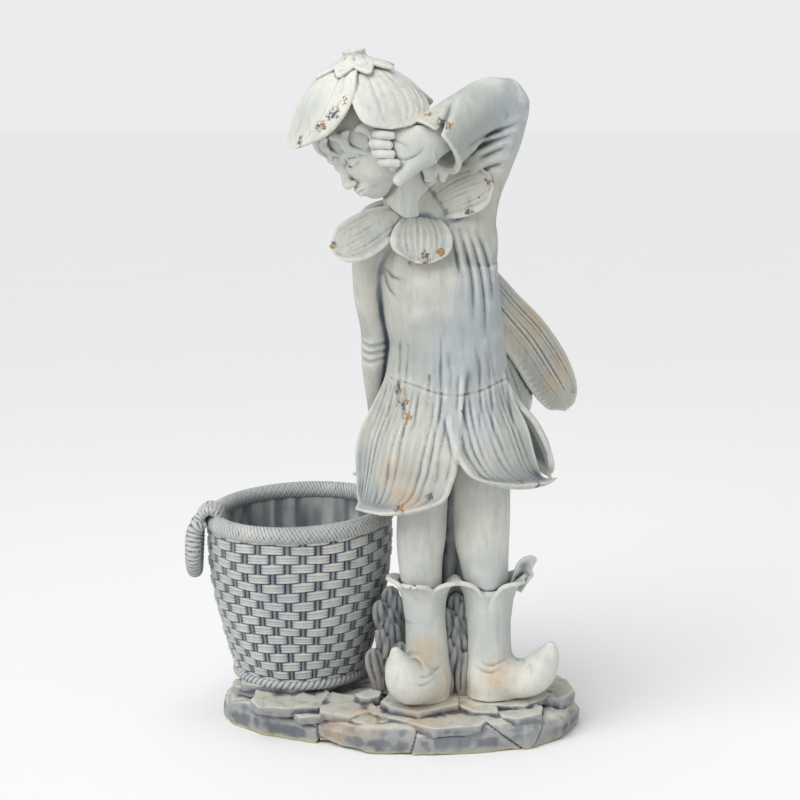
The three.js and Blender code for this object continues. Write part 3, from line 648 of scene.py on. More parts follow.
def paint(name, light, wash_and_shade, deep, wash_and_shade_range, pale_and_lit_tops=None, grain=1.0, rubbed=0.55):
    """Worn matte paint: a light coat, a wash held in the hollows together with painted shade there, tints,
    painted cool shade, paler tops that are partly painted light, and chips down to the cast.
    """
    n = Nodes(name)
    fine = n.attribute("fine_hollow")
    wide = n.attribute("wide_hollow")
    cloud = n.noise(9, 5)
    blotch = n.noise(34, 5, 0.65)
    streak = n.noise(90, stretch=(1, 1, 0.16))
    speck = n.noise(240)
    shade = n.plus(n.maths("MULTIPLY", cloud, 0.6), streak, 0.4)
    colour = n.coat((*light[0], 1), light[1], n.between(shade, 0.4, 0.6))
    # Upward faces get a paler coat: partly the stone's own paler paint, partly painted light from above
    if pale_and_lit_tops:
        level = n.plus(n.part("Normal", "Z"), n.centred(cloud), 0.6)
        colour = n.coat(colour, pale_and_lit_tops, n.between(level, 0.5, 0.9))
    # Painted cool shade on the side away from the light
    colour = n.coat(colour, COOL_SHADE_TINT, n.attribute("cool_shade"), 0.4)
    colour = n.coat(colour, wash_and_shade, n.between(streak, 0.48, 0.7), 0.34)
    ochre = n.maths("MULTIPLY", n.attribute("ochre"), n.between(blotch, 0.3, 0.6))
    colour = n.coat(colour, OCHRE_TINT, ochre, 0.6)
    if pale_and_lit_tops:
        foot = n.plus(n.part("Position", "Z"), n.centred(blotch), 0.012)
        colour = n.coat(colour, MOSS_TINT, n.between(foot, *MOSS_FOOT), 0.7)
    # Hollows and inside corners: the wash that the real paint holds there, plus painted shade
    hollow = n.plus(n.plus(fine, wide), n.centred(blotch), 0.4)
    colour = n.coat(colour, wash_and_shade, n.between(hollow, *wash_and_shade_range), 0.85)
    # The deepest hollows and corners go near black: painted shade
    colour = n.coat(colour, deep, n.between(hollow, wash_and_shade_range[1] * 0.8, wash_and_shade_range[1] * 2.0))
    rub = n.between(n.maths("SUBTRACT", 0.0, fine), 0.15, 0.8)
    colour = n.coat(colour, RUBBED_TINT, rub, rubbed)
    flake = n.plus(n.maths("MULTIPLY", n.attribute("chips"), 0.36), n.noise(190, 7, 0.74))
    chipped = n.between(flake, 0.82, 0.835)
    bare = n.coat((*BARE_BROWN, 1), BARE_GREY, n.between(n.noise(60, 3), 0.47, 0.53))
    n.link(n.mix(chipped, colour, bare), n.shader.inputs["Base Color"])
    n.link(n.plus(0.58, blotch, 0.3), n.shader.inputs["Roughness"])
    height = n.plus(n.maths("MULTIPLY", speck, 0.3), blotch, 0.5)
    bump = n.add("ShaderNodeBump")
    bump.inputs["Strength"].default_value = 0.4 * grain
    bump.inputs["Distance"].default_value = BUMP_HEIGHT
    n.link(n.plus(height, chipped, -0.8), bump.inputs["Height"])
    n.link(bump.outputs[0], n.shader.inputs["Normal"])
    return n.material


# Two copies of one cream paint: this lighter one, on the head, hat, legs and boots, is painted light
cream_paint = paint(
    "cream_paint",
    light=((0.49, 0.52, 0.50), (0.69, 0.685, 0.605)),
    wash_and_shade=(0.17, 0.205, 0.225),
    deep=(0.04, 0.05, 0.06),
    wash_and_shade_range=(0.1, 0.9),
)
# The darker copy, on the body and wings, is painted shade
shaded_paint = paint(
    "shaded_cream_paint",
    light=((0.36, 0.39, 0.375), (0.52, 0.515, 0.445)),
    wash_and_shade=(0.15, 0.18, 0.20),
    deep=(0.035, 0.045, 0.055),
    wash_and_shade_range=(0.06, 0.9),
)
basket_paint = paint(
    "grey_basket_paint",
    light=((0.42, 0.44, 0.44), (0.58, 0.585, 0.54)),
    wash_and_shade=(0.12, 0.14, 0.17),
    deep=(0.02, 0.025, 0.035),
    wash_and_shade_range=(-0.2, 0.32),
)
leaf_paint = paint(
    "dark_leaf_paint",
    light=((0.14, 0.152, 0.16), (0.25, 0.255, 0.245)),
    wash_and_shade=(0.05, 0.058, 0.07),
    deep=(0.016, 0.019, 0.025),
    wash_and_shade_range=(-0.1, 0.6),
    rubbed=0.2,
)
stone_paint = paint(
    "stone_paint",
    light=((0.13, 0.147, 0.165), (0.22, 0.233, 0.243)),
    wash_and_shade=(0.075, 0.085, 0.1),
    deep=(0.02, 0.024, 0.03),
    wash_and_shade_range=(0.45, 1.5),
    # Paler coat of upward faces: partly the stone's own paint, partly painted light from above
    pale_and_lit_tops=(0.52, 0.51, 0.45),
    grain=1.8,
    rubbed=0.25,
)


# The stone base

BASE_OUTLINE = [
    (-214, 12), (-202, -17), (-161, -57), (-95, -86), (-39, -122), (42, -127), (101, -117), (148, -105),
    (193, -74), (219, -18), (216, 34), (188, 82), (132, 112), (50, 126), (-50, 130), (-136, 131),
    (-188, 98), (-213, 52),
]
BOOT_TOP = SLAB_TOP + SOLE_LEVEL
# Each slab: centre x and y, half sizes, turn, top, thickness and dip to the front
SLABS = [
    (28, -62, 50, 46, 8, BOOT_TOP, 9, 3),
    (116, -34, 66, 52, -12, BOOT_TOP, 11, 3),
    (48, -86, 78, 40, -4, 38, 12, 5),
    (140, -80, 36, 30, -20, 40, 14, 6),
    (-62, -64, 38, 32, -14, 41, 9, 8),
    (-128, -48, 48, 36, 14, 45, 11, 7),
    (BASKET[0], BASKET[1], 90, 87, 0, SLAB_TOP, 10, 0),
    (184, -6, 32, 52, 15, 46, 13, 3),
    (56, 70, 92, 46, -8, 46, 13, -2),
    (-98, -70, 30, 20, 30, 36, 9, 9),
    (-170, 4, 34, 32, 40, 47, 10, 5),
    (92, -74, 30, 16, -34, 43, 8, 6),
    (-28, -92, 30, 18, 12, 35, 9, 9),
    (-34, -52, 16, 13, 20, 50, 18, 12),
    (0, 0, 46, 30, 0, 50, 8, 0),
]


def closed_curve(corners, count):
    """A closed outline of evenly spaced points along straight runs between the corners."""
    corners = np.asarray(corners, float)
    lengths = np.linalg.norm(np.roll(corners, -1, 0) - corners, axis=1)
    stops = np.concatenate([[0], np.cumsum(lengths)])
    at = np.linspace(0, stops[-1], count, endpoint=False)
    ends = np.vstack([corners, corners[:1]])
    return np.stack([np.interp(at, stops, ends[:, k]) for k in (0, 1)], -1)


def slab_shape(x, y, half_x, half_y, turn, top, thickness, dip, seed):
    """A broken flat stone with uneven straight sides."""
    random = np.random.RandomState(seed)
    corners = random.randint(6, 9)
    angle = (np.arange(corners) / corners) * TAU + random.uniform(-0.3, 0.3, corners)
    reach = 1 + random.uniform(-0.14, 0.12, corners)
    outline = closed_curve(np.stack([
        half_x * reach * np.cos(angle),
        half_y * reach * np.sin(angle),
    ], -1), 90)
    heights = np.array([-thickness, -thickness * 0.9, -thickness * 0.5, -1.2, -0.3, 0.0, 0.0])
    sizes = np.array([0.95, 0.985, 1.0, 1.0, 0.985, 0.96, 0.3])
    rings = []
    for height, size in zip(heights, sizes):
        jag = 1 + random.uniform(-0.006, 0.006, len(outline))[:, None]
        rings.append(np.column_stack([outline * size * jag, np.full(len(outline), height)]))
    rings = np.array(rings)
    turn, dip = math.radians(turn), math.radians(dip)
    spin = np.array([[math.cos(turn), math.sin(turn), 0], [-math.sin(turn), math.cos(turn), 0], [0, 0, 1]])
    nod = np.array([[1, 0, 0], [0, math.cos(dip), math.sin(dip)], [0, -math.sin(dip), math.cos(dip)]])
    return skin(rings @ spin @ nod + (x, y, top))


def make_base():
    field = Field("stone_base")
    outline = closed_curve(BASE_OUTLINE, 260)
    ledges = [(0, 0.99), (WALL_HEIGHT * 0.3, 1.005), (WALL_HEIGHT * 0.8, 1.005), (WALL_HEIGHT, 0.985),
              (ROCK_HEIGHT * 0.9, 0.96), (ROCK_HEIGHT, 0.91)]
    rings = np.array([np.column_stack([outline * size, np.full(len(outline), z)]) for z, size in ledges])
    field.add(skin(rings))
    field.blocks((96, 96, 70), depth=4.0, width=1.5, shift=3.4, seed=9)
    field.roughen(30, 2.6, 11, high=ROCK_HEIGHT + 8)
    for k, slab in enumerate(SLABS):
        field.add(slab_shape(*slab, seed=40 + k))
    field.roughen(15, 1.3, 12)
    field.roughen(6, 0.35, 13)
    z = field.axis(2)
    field.data = np.maximum(field.data, (0.0 - z).astype(np.float32))
    finished(field, stone_paint)


# The basket

def basket_point(radius, angle, height):
    """A place on the basket; its rim dips a little to the front and left, by height."""
    x = radius * np.cos(angle)
    y = radius * np.sin(angle)
    level = np.clip((height - SLAB_TOP) / BASKET_HEIGHT, 0, None)
    return np.stack([
        BASKET[0] + x,
        BASKET[1] + y,
        height + level * (RIM_LEAN[0] * x + RIM_LEAN[1] * y),
    ], -1)


WALL_PROFILE = [
    (0.0, 0.99), (0.06, 1.08), (0.25, 1.22), (0.46, 1.35), (0.7, 1.45), (0.86, 1.47), (1.0, 1.46),
]


def wall_radius(level):
    stops, sizes = np.array(WALL_PROFILE).T
    fine = np.interp(np.linspace(0, 1, 60), stops, sizes)
    smooth = np.convolve(np.pad(fine, 4, mode="edge"), np.ones(9) / 9, mode="valid")
    return FOOT_RADIUS * np.interp(level, np.linspace(0, 1, 60), smooth)


def weave_height(u, v):
    """Relief of the weave from 0 in the gaps to 1 on the strands, at u stakes round and v rows up."""
    row = np.floor(v)
    along = np.abs((u + row + 1) % 2 - 1)
    within = v - row
    bundle = np.clip((0.82 - along) / 0.16, 0, 1) ** 0.6 * (0.6 + 0.4 * np.cos(along * math.pi / 2))
    strands = 0.45 + 0.55 * np.abs(np.sin(within * 3 * math.pi)) ** 0.6
    edge = np.clip(np.minimum(within, 1 - within) * 9, 0, 1) ** 0.5
    stake = 0.42 * np.clip(1 - ((1 - along) / 0.15) ** 4, 0, 1)
    return np.maximum(bundle * strands * edge, stake)


def rope_skin(radius, rope, height, segments, sides, strands, twists):
    """A closed ring of laid rope; returns its points, faces and how high each point stands."""
    turn = np.arange(segments) / segments * TAU
    around = np.arange(sides) / sides * TAU
    lay = np.abs(np.cos((around[None, :] * strands + turn[:, None] * twists) / 2)) ** 0.6
    r = rope * (0.88 + 0.16 * lay)
    reach = radius + r * np.cos(around)
    z = height + r * np.sin(around)
    points = basket_point(reach, turn[:, None] + 0 * reach, z).reshape(-1, 3)
    i, j = np.meshgrid(np.arange(segments), np.arange(sides), indexing="ij")
    next_i = (i + 1) % segments
    next_j = (j + 1) % sides
    quads = np.stack([i * sides + j, next_i * sides + j, next_i * sides + next_j, i * sides + next_j], -1)
    return points, np.zeros((0, 3), int), quads.reshape(-1, 4), lay.reshape(-1)


def cord_skin(path, radius, sides=20, pitch=5.0, step=1.4):
    """A wound cord along a path, with a ridge for every turn of its winding."""
    path = np.asarray(path, float)
    dense = through(path, np.linspace(0, 1, 400))
    length = np.concatenate([[0], np.cumsum(np.linalg.norm(np.diff(dense, axis=0), axis=1))])
    at = np.linspace(0, length[-1], int(length[-1] / step))
    line = np.stack([np.interp(at, length, dense[:, k]) for k in range(3)], -1)
    ahead = unit(np.gradient(line, axis=0))
    across = unit(np.cross(ahead, (1, 0.1, 0.05)))
    deep = np.cross(ahead, across)
    around = np.arange(sides) / sides * TAU
    lay = np.abs(np.sin(at[:, None] / pitch * math.pi + around[None, :] * 0.5)) ** 0.6
    ends = np.clip(np.minimum(at, length[-1] - at) / radius, 0.25, 1) ** 0.5
    r = radius * ends[:, None] * (0.88 + 0.14 * lay)
    points = line[:, None] + across[:, None] * (r * np.cos(around))[..., None]
    points = points + deep[:, None] * (r * np.sin(around))[..., None]
    return *skin(points), np.concatenate([lay.reshape(-1), [0.5, 0.5]])


def weave_places(count, steps):
    """Places along a weave with the same steps inside each repeat, so that points lie on its edges."""
    return (np.arange(count)[:, None] + np.array(steps)).reshape(-1)


def make_basket():
    u = weave_places(WEAVE_STAKES, [0, 0.08, 0.16, 0.2, 0.32, 0.5, 0.68, 0.8, 0.84, 0.92])[None, :]
    v = weave_places(WEAVE_ROWS, [0.01, 0.09, 0.19, 0.29, 0.35, 0.5, 0.65, 0.71, 0.81, 0.92])[:, None]
    around, inner_rows = u.size, 22
    angle = u / WEAVE_STAKES * TAU
    level = v / WEAVE_ROWS
    wave = 0.12 * np.sin(angle * 5 + v * 0.7) * np.clip(v * (WEAVE_ROWS - v) / 20, 0, 1)
    relief = weave_height(u, v) * np.clip((1 - level) * 30, 0, 1)
    noise = noise_block((v.size, around, 1), 6, 5)[..., 0] * 0.45
    radius = wall_radius(level) + WEAVE_RELIEF * (2.0 * relief - 1.2) + noise
    height = SLAB_TOP + (level + wave / WEAVE_ROWS) * BASKET_HEIGHT
    outside = basket_point(radius, angle + 0 * radius, height + 0 * radius)
    down = np.linspace(1, BASKET_FLOOR / BASKET_HEIGHT, inner_rows)[:, None]
    inner = np.minimum(wall_radius(down) - BASKET_WALL, RIM_RADIUS - 6)
    mottle = noise_block((inner_rows, around, 1), 5, 6)[..., 0]
    inner = inner + 1.2 * mottle
    inside = basket_point(inner, angle + 0 * inner, SLAB_TOP + down * BASKET_HEIGHT + 0 * inner)
    skirted = basket_point(wall_radius(0) - 3 + 0 * angle, angle, SLAB_TOP - 5 + 0 * angle)
    points, triangles, quads = skin(np.concatenate([skirted, outside, inside]))
    # The weave's gaps get the wash that the real paint holds there, plus painted shade
    depth = [np.full(around, 0.3), (1 - relief).reshape(-1), 0.5 + 0.3 * mottle.reshape(-1), [0.5, 0.5]]
    depth = np.concatenate(depth)
    mesh = new_mesh("basket", points, quads, triangles)
    placed("basket", mesh, points, depth - 0.45, 0.1 * depth, basket_paint)


def make_ropes():
    """The rim and foot ropes, the handle's loop and its wraps over the rim."""
    rim = rope_skin(RIM_RADIUS, RIM_ROPE, SLAB_TOP + BASKET_HEIGHT, 700, 26, 8, 155)
    foot = rope_skin(FOOT_RADIUS + 2, FOOT_ROPE + 1, SLAB_TOP + 0.6 * FOOT_ROPE, 400, 14, 3, -72)
    x = BASKET[0] - 1.47 * FOOT_RADIUS - HANDLE_ROPE
    y = BASKET[1] - 28
    top = SLAB_TOP + BASKET_HEIGHT - RIM_LEAN[0] * RIM_RADIUS
    r = HANDLE_ROPE
    low = top - 0.5 * HANDLE_DROP
    high = top - 0.1 * HANDLE_DROP
    loop = [
        (x + 1.2 * r, y - 1.6 * r, top), (x - 0.2 * r, y - 2 * r, high),
        (x - 0.5 * r, y - 2.2 * r, low), (x - 0.5 * r, y, top - HANDLE_DROP + r),
        (x - 0.5 * r, y + 2.2 * r, low), (x - 0.2 * r, y + 2 * r, high),
        (x + 1.2 * r, y + 1.6 * r, top),
    ]
    parts = [rim, foot, cord_skin(loop, r)]
    rise = [(2.9, 1.3, -1.0), (2.6, 1.4, 1.1), (1.3, 1.6, 1.6), (0.2, 1.8, 0.4), (0.3, 1.9, -1.1)]
    for side in (-1.1, -0.35, 0.4, 1.1):
        wrap = [(x + out * r, y + side * across * r, top + up * r) for out, across, up in rise]
        parts.append(cord_skin(wrap, 0.62 * r, sides=14, pitch=4.0))
    starts = np.cumsum([0] + [len(part[0]) for part in parts])
    at = np.vstack([part[0] for part in parts])
    triangles = np.vstack([part[1] + start for part, start in zip(parts, starts)])
    quads = np.vstack([part[2] + start for part, start in zip(parts, starts)])
    # The grooves between the ropes' strands get wash and painted shade
    hollow = 1 - np.concatenate([part[3] for part in parts])
    mesh = new_mesh("basket_ropes", at, quads, triangles)
    placed("basket_ropes", mesh, at, 0.9 * hollow - 0.3, 0.1 * hollow, basket_paint)


# The fairy

# Skirt petals: turn, skew, its power, drop, half width, flare halfway and at the tip, flutes, how far out
SKIRT = [
    (172, 0, 2, 98, 64, 4, 4, 9, 0),
    (-116, 0, 2, 122, 56, 0, 0, 9, 0),
    (97, 4, 2, 114, 48, 15, 4, 7, 0),
    (30, 43, 4, 122, 49, 3, 12, 11, -1),
    (-36, -16, 2, 150, 71, 0, 4, 14, 3),
]
# Collar petals: the way each one faces, and [x, y, z, half width] from neck to tip
COLLAR = [
    ((0.3, 0.6, 0.8), [(30, -34, 582, 14), (58, -18, 584, 26), (78, -4, 574, 24), (90, 4, 562, 5)]),
    ((-0.5, 0.5, 0.75), [(4, -34, 582, 14), (-16, -10, 572, 26), (-30, 4, 552, 22), (-36, 10, 538, 5)]),
    ((0.05, -0.95, 0.35), [
        (38, -62, 572, 12), (58, -71, 584, 23), (78, -74, 593, 26), (94, -74, 599, 21), (106, -73, 603, 6),
    ]),
    ((-0.25, -0.88, 0.42), [
        (4, -62, 566, 12), (-20, -78, 554, 22), (-42, -87, 541, 25), (-60, -92, 531, 20),
        (-73, -93, 525, 5),
    ]),
    ((0.05, -0.9, 0.4), [
        (22, -60, 564, 11), (25, -80, 555, 25), (27, -95, 540, 32), (27, -100, 524, 27), (26, -99, 512, 6),
    ]),
]
# Limbs as [x, y, z, half width, half depth]
TORSO = [
    (61, -37, 306, 74, 52), (60, -38, 334, 79, 57), (58, -39, 367, 73, 55),
    (57, -40, 420, 67, 52), (49, -41, 466, 69, 53), (44, -41, 506, 71, 49), (48, -41, 538, 64, 42),
    (42, -42, 562, 44, 34), (28, -44, 580, 26, 25),
]
NECK = [(24, -42, 548, 33, 30), (16, -43, 574, 31, 28), (12, -41, 602, 32, 30), (6, -42, 628, 35, 32)]
UPPER_ARM = [
    (72, -39, 470, 26, 26), (77, -38, 515, 34, 35), (81, -39, 560, 32, 33), (90, -41, 601, 32, 31),
    (107, -44, 645, 32, 30), (123, -47, 680, 26, 26), (128, -49, 694, 22, 22),
]
SLEEVE = [
    (129, -50, 695, 22, 22), (104, -58, 688, 30, 27), (79, -73, 672, 32, 29), (58, -86, 656, 34, 31),
    (47, -94, 647, 36, 32), (40, -99, 640, 39, 35),
]
SLEEVE_HOLLOW = [(62, -83, 659, 20, 18), (48, -93, 648, 28, 25), (32, -105, 633, 36, 32)]
HANGING_ARM = [
    (-6, -42, 542, 30, 30), (-27, -41, 512, 24, 27), (-31, -39, 470, 19, 22), (-26, -33, 432, 17, 19),
    (-26, -27, 405, 17, 18), (-26, -17, 374, 14, 16), (-25, -8, 348, 12, 14), (-25, -2, 330, 10, 12),
]
# Folds of the tunic, sleeves and belt: width, depth, how far back they reach, and paths of [x, height]
FOLDS = [
    (3.4, 3.6, -30, [
        [(70, 548), (78, 520), (84, 490), (86, 450)],
        [(80, 548), (90, 515), (97, 480), (100, 430)],
        [(90, 545), (102, 510), (108, 470)],
        [(60, 545), (66, 520), (70, 500)],
    ]),
    (2.4, 2.0, -10, [
        [(-14, 500), (-10, 484), (0, 470)],
        [(-12, 504), (-6, 496), (6, 492)],
        [(-44, 418), (-30, 412), (-14, 416)],
        [(-44, 408), (-32, 403), (-16, 406)],
        [(-42, 396), (-30, 393), (-16, 398)],
    ]),
    (3.6, 3.6, -20, [
        [(136, 668), (118, 660), (96, 652), (76, 640)],
        [(128, 654), (110, 648), (92, 640)],
        [(120, 640), (106, 634), (92, 628)],
        [(118, 622), (104, 618), (92, 612)],
        [(60, 690), (52, 668), (40, 650), (30, 636)],
    ]),
    (1.2, 1.3, -60, [
        [(-12, 378), (14, 374), (42, 366), (64, 363)],
        [(66, 363), (92, 366), (118, 375), (128, 377)],
    ]),
]


def make_body():
    field = Field("body")
    field.add(limb(TORSO, sides=90, caps=(0, 0.4)))
    field.add(limb(HANGING_ARM, sides=50, caps=(0, 0.7)), 6)
    field.add(limb(UPPER_ARM, sides=60, caps=(0, 0.6)), 10)
    field.add(limb(SLEEVE, front=(0, -1, -0.4), sides=60, caps=(0.6, 0)), 6)
    field.cut(limb(SLEEVE_HOLLOW, front=(0, -1, -0.4), sides=50, caps=(0, 0)), 3)
    field.add(limb([(x, y, z, w - 1.5, d - 1.5) for x, y, z, w, d in NECK], sides=60, caps=(0, 0)), 8)
    skirt = PetalFrame((60, -38, 372), (0, 0, 1), (1.0, 0.8))
    for turn, skew, sweep, drop, width, middle, tip, flutes, over in SKIRT:
        stations = [
            (58 + over, 22, 0.72 * width), (77 + over, -0.2 * drop, 0.84 * width),
            (91 + over + 0.6 * middle, -0.45 * drop, 0.97 * width), (99 + middle, -0.7 * drop, width),
            (102 + middle, -0.88 * drop, 0.9 * width), (107 + tip, -drop, 0.24 * width),
        ]
        shape = petal(skirt, turn, stations, skew=skew, sweep=sweep, flutes=flutes, groove=2.2, thickness=9,
                      lip=7.0, rows=110, columns=170, ripple=1.2)
        field.add(shape, 4)
    crease_cloth(field)
    for out, stations in COLLAR:
        shape = blade(stations, out, cup=-0.12, flutes=9, groove=1.4, lip=2.0, thickness=6.5, columns=100)
        field.add(shape, 1.0)
    field.roughen(22, 0.5, 21)
    finished(field, shaded_paint)


def crease_cloth(field):
    """Folds of the tunic and sleeves, drawn as seen from the front."""
    for k in range(15):
        x = -12 + 10.3 * k + 3 * math.sin(k * 5.1)
        bend = 2.5 * math.sin(k * 2.1)
        path = [
            (x, 316),
            (0.94 * x + 4 + bend, 366 + 6 * bend),
            (0.88 * x + 7, 405 + 26 * math.sin(k * 1.3)),
        ]
        field.crease(path, 2.0, 0.9 + 0.5 * math.sin(k * 3.3), -40)
    for x, low, high in ((108, 350, 440), (96, 360, 425)):
        field.crease([(x + 12, low), (x, 0.5 * (low + high)), (x - 4, high)], 2.8, 0.9, 0)
    for width, depth, back, paths in FOLDS:
        for path in paths:
            field.crease(path, width, depth, back)


HEAD_LEFT = np.array([0.487, -0.848, 0.197])
HEAD_UP = np.array([-0.593, -0.157, 0.79])
HEAD_FACE = np.array([-0.639, -0.501, -0.579])
HEAD_CENTRE = np.array([-28.0, -50.0, 648.0])
HEAD_AXES = (HEAD_LEFT, HEAD_UP, HEAD_FACE)
HAT = PetalFrame((-37, -52, 652), (-0.12, -0.1, 0.98))
# Hat petals: turn, skew, half width, how much higher than the lowest its tip ends, flutes
HAT_PETALS = [
    (176, 0, 42, 0, 7), (-124, 0, 42, -12, 7), (120, 0, 44, 16, 7), (46, -16, 52, 6, 9),
    (-53, -14, 54, -6, 9),
]


def on_head(left, up, face):
    return HEAD_CENTRE + left * HEAD_LEFT + up * HEAD_UP + face * HEAD_FACE


def head_limb(stations, **options):
    """A limb whose stations are given in the head's own directions."""
    rows = [(*on_head(*row[:3]), *row[3:]) for row in stations]
    return limb(rows, front=tuple(HEAD_FACE), **options)


def head_line(stations, sides, step=2.0):
    """A thin line of the face along [left, up, face, half width] stations."""
    return head_limb([(*row, row[3]) for row in stations], sides=sides, step=step)


def head_egg(place, sizes):
    return egg(on_head(*place), sizes, HEAD_AXES)


def add_face(field):
    """A calm child's face of plain proportions, with lowered lids."""
    field.add(head_egg((0, 9, -2), (50, 54, 55)))
    field.add(head_egg((0, -14, 12), (42, 42, 41)), 9)
    field.add(head_egg((0, -42, 33), (16, 13, 14)), 9)
    for side in (1, -1):
        field.add(head_egg((22 * side, -20, 29), (17, 16, 15)), 9)
        field.cut(head_egg((18 * side, 2, 60), (12, 8, 10)), 8)
        field.add(head_egg((18 * side, 0, 42.5), (9.5, 8, 8)), 2)
        brow = [(9 * side, 8, 50, 2), (18 * side, 12, 50, 3), (29 * side, 8, 43, 2)]
        field.add(head_line(brow, 16), 6)
        lid = [(9.5 * side, -2.5, 49.5, 0.9), (18 * side, -6, 51, 1.1), (27 * side, -3, 46, 0.9)]
        field.cut(head_line(lid, 12, 1), 1.2)
        fold = [(10 * side, 3, 50, 0.7), (18 * side, 6, 50.5, 0.8), (27 * side, 3, 45.5, 0.7)]
        field.cut(head_line(fold, 12, 1), 1.2)
        field.add(head_egg((5.2 * side, -21, 56.5), (3.6, 3.2, 4)), 2.5)
    field.add(head_limb([(0, 8, 50, 4, 4), (0, -4, 54, 4, 5), (0, -17, 60, 5.5, 5)], sides=20), 5)
    field.add(head_egg((0, -19, 60.5), (6, 5.2, 5)), 3)
    for side in (1, -1):
        field.cut(head_egg((2.8 * side, -24, 59), (1.3, 1.6, 1.6)), 1)
    field.add(head_egg((0, -33, 46), (15, 9, 9)), 6)
    upper_lip = [
        (-10, -32, 50, 1.6, 1.6), (-3, -30, 54.5, 2.6, 2.4), (0, -30.6, 55, 2.3, 2.3),
        (3, -30, 54.5, 2.6, 2.4), (10, -32, 50, 1.6, 1.6),
    ]
    lower_lip = [(-8, -35.5, 50, 1.6, 1.6), (0, -36.5, 54, 3.2, 2.8), (8, -35.5, 50, 1.6, 1.6)]
    for lip in (upper_lip, lower_lip):
        field.add(head_limb(lip, sides=14), 1.6)
    field.cut(head_line([(-11, -33, 51, 0.7), (0, -33.2, 57, 0.9), (11, -33, 51, 0.7)], 12, 1), 0.8)


# Locks of hair in the head's directions: root, how far it bends sideways, its length and thickness
LOCKS = [
    (-34, 34, 40, -8, 26, 8), (-22, 38, 47, 8, 30, 8), (-8, 38, 51, -9, 30, 8.5), (6, 38, 51, 9, 28, 8.5),
    (20, 36, 48, -8, 32, 8.5), (32, 32, 40, 9, 34, 8.5), (42, 28, 28, -7, 34, 8.5), (48, 20, 16, 7, 32, 8),
    (52, 4, 2, -7, 30, 8), (50, -10, -10, 7, 30, 8.5), (46, -18, -24, -7, 28, 8.5),
    (36, -22, -36, 7, 28, 8.5), (20, -24, -46, -7, 26, 8.5), (0, -26, -50, 7, 26, 8.5),
    (-20, -24, -46, -7, 26, 8.5), (-36, -20, -36, 7, 26, 8.5),
    (-48, -8, -16, -7, 28, 8), (-50, 8, 6, 7, 28, 8), (-44, 24, 26, -7, 28, 8),
]


def add_hair(field):
    """Loose curls under the hat: each lock is three strands that bend together."""
    for left, up, face, bend, length, size in LOCKS:
        root = np.array([left, up, face], float)
        out = unit(root)
        for strand in (-1, 0, 1):
            t = np.linspace(0, 1, 6)
            sideways = unit(np.cross(out, (0, 1, 0)))
            rows = []
            for k in t:
                swing = bend * math.sin(k * math.pi * 1.25) + strand * size * 0.42 * (1 - 0.5 * k)
                drop = length * k
                place = root + sideways * swing - np.array([0, 1, 0]) * drop
                middle = 1.5 if strand == 0 else 0
                place = place + out * (1.5 + 3 * math.sin(k * math.pi) - 4 * k + middle)
                thick = size * 0.36 * (1 - 0.65 * k * k)
                rows.append((*place, thick, thick))
            field.add(head_limb(rows, sides=12, step=1.5), 1.0)


def add_hat(field):
    for k, (turn, skew, width, rise, flutes) in enumerate(HAT_PETALS):
        over = 2.6 if k == 4 else 0
        stations = [
            (24, 74 + over, 0.42 * width), (40 + over, 67 + over, 0.7 * width),
            (59 + over, 51, 0.97 * width),
            (72 + over, 32 + 0.3 * rise, width), (79 + over, 17 + 0.7 * rise, 0.8 * width),
            (84 + over, 6 + rise, 0.2 * width),
        ]
        shape = petal(HAT, turn, stations, skew=skew, flutes=flutes, groove=1.2, lip=1.2, rows=90,
                      columns=120)
        field.add(shape, 0.6)
    count = 60
    turn = np.arange(count) / count * TAU
    rings = []
    for r, h in ((8, 95), (12.4, 97.5), (13.2, 96), (12.2, 92), (11.2, 87), (12.5, 82), (17, 78), (22, 73)):
        reach = r * (1 + 0.03 * np.cos(turn * 7))
        ring = HAT.origin + HAT.out * (reach * np.cos(turn))[
            :, None,
        ] + HAT.side * (reach * np.sin(turn))[:, None]
        rings.append(ring + HAT.up * h)
    field.add(skin(np.array(rings)), 1.0)
    for turn in (-70, -24, 18, 62, 116, 172, 236):
        stations = [(10, 92, 6), (15, 86, 10.5), (25, 82, 12), (36, 77.5, 8), (47, 72.5, 1.2)]
        field.add(petal(HAT, turn, stations, thickness=4.4, flutes=2, groove=0.7, rows=36, columns=36), 0.5)


PALM = [
    (62, -90, 660, 18, 15), (44, -101, 650, 19, 15), (28, -110, 643, 23, 14), (8, -116, 639, 25, 13),
    (-10, -117, 636, 22, 10),
]
THUMB = [(36, -110, 634, 13, 11), (20, -118, 623, 10, 10), (9, -122, 613, 8, 8), (1, -124, 605, 6.5, 6)]
# Folded fingers from the first to the little one: x and height of the knuckle, and half thickness
FINGERS = [(-21, 655.5, 5.6), (-24, 645.5, 5.9), (-21, 635.5, 5.7), (-15, 626, 5.2)]


def add_hand(field):
    """The raised hand, palm forward: folded fingers at the left, the thumb below."""
    field.add(limb(PALM, sides=40, caps=(0, 0.3)), 3)
    for x, z, size in FINGERS:
        places = [(x + 20, -114, z, 1), (x + 3, -116, z, 1), (x - 1.5, -122, z - 0.5, 1),
                  (x + 4, -128.5, z - 1, 0.95), (x + 15, -129.5, z - 2, 0.85)]
        finger = [(*place, size * share, size * share) for *place, share in places]
        field.add(limb(finger, front=(0, 0, 1), sides=22, step=1, caps=(0, 0.9)), 1.2)
    field.add(limb(THUMB, sides=24, step=1, caps=(0, 0.9)), 3)
    for path in ([(-8, 650), (4, 646), (14, 640)], [(-2, 632), (8, 628), (20, 632), (30, 640)]):
        field.crease(path, 1.6, 1.2, -108)


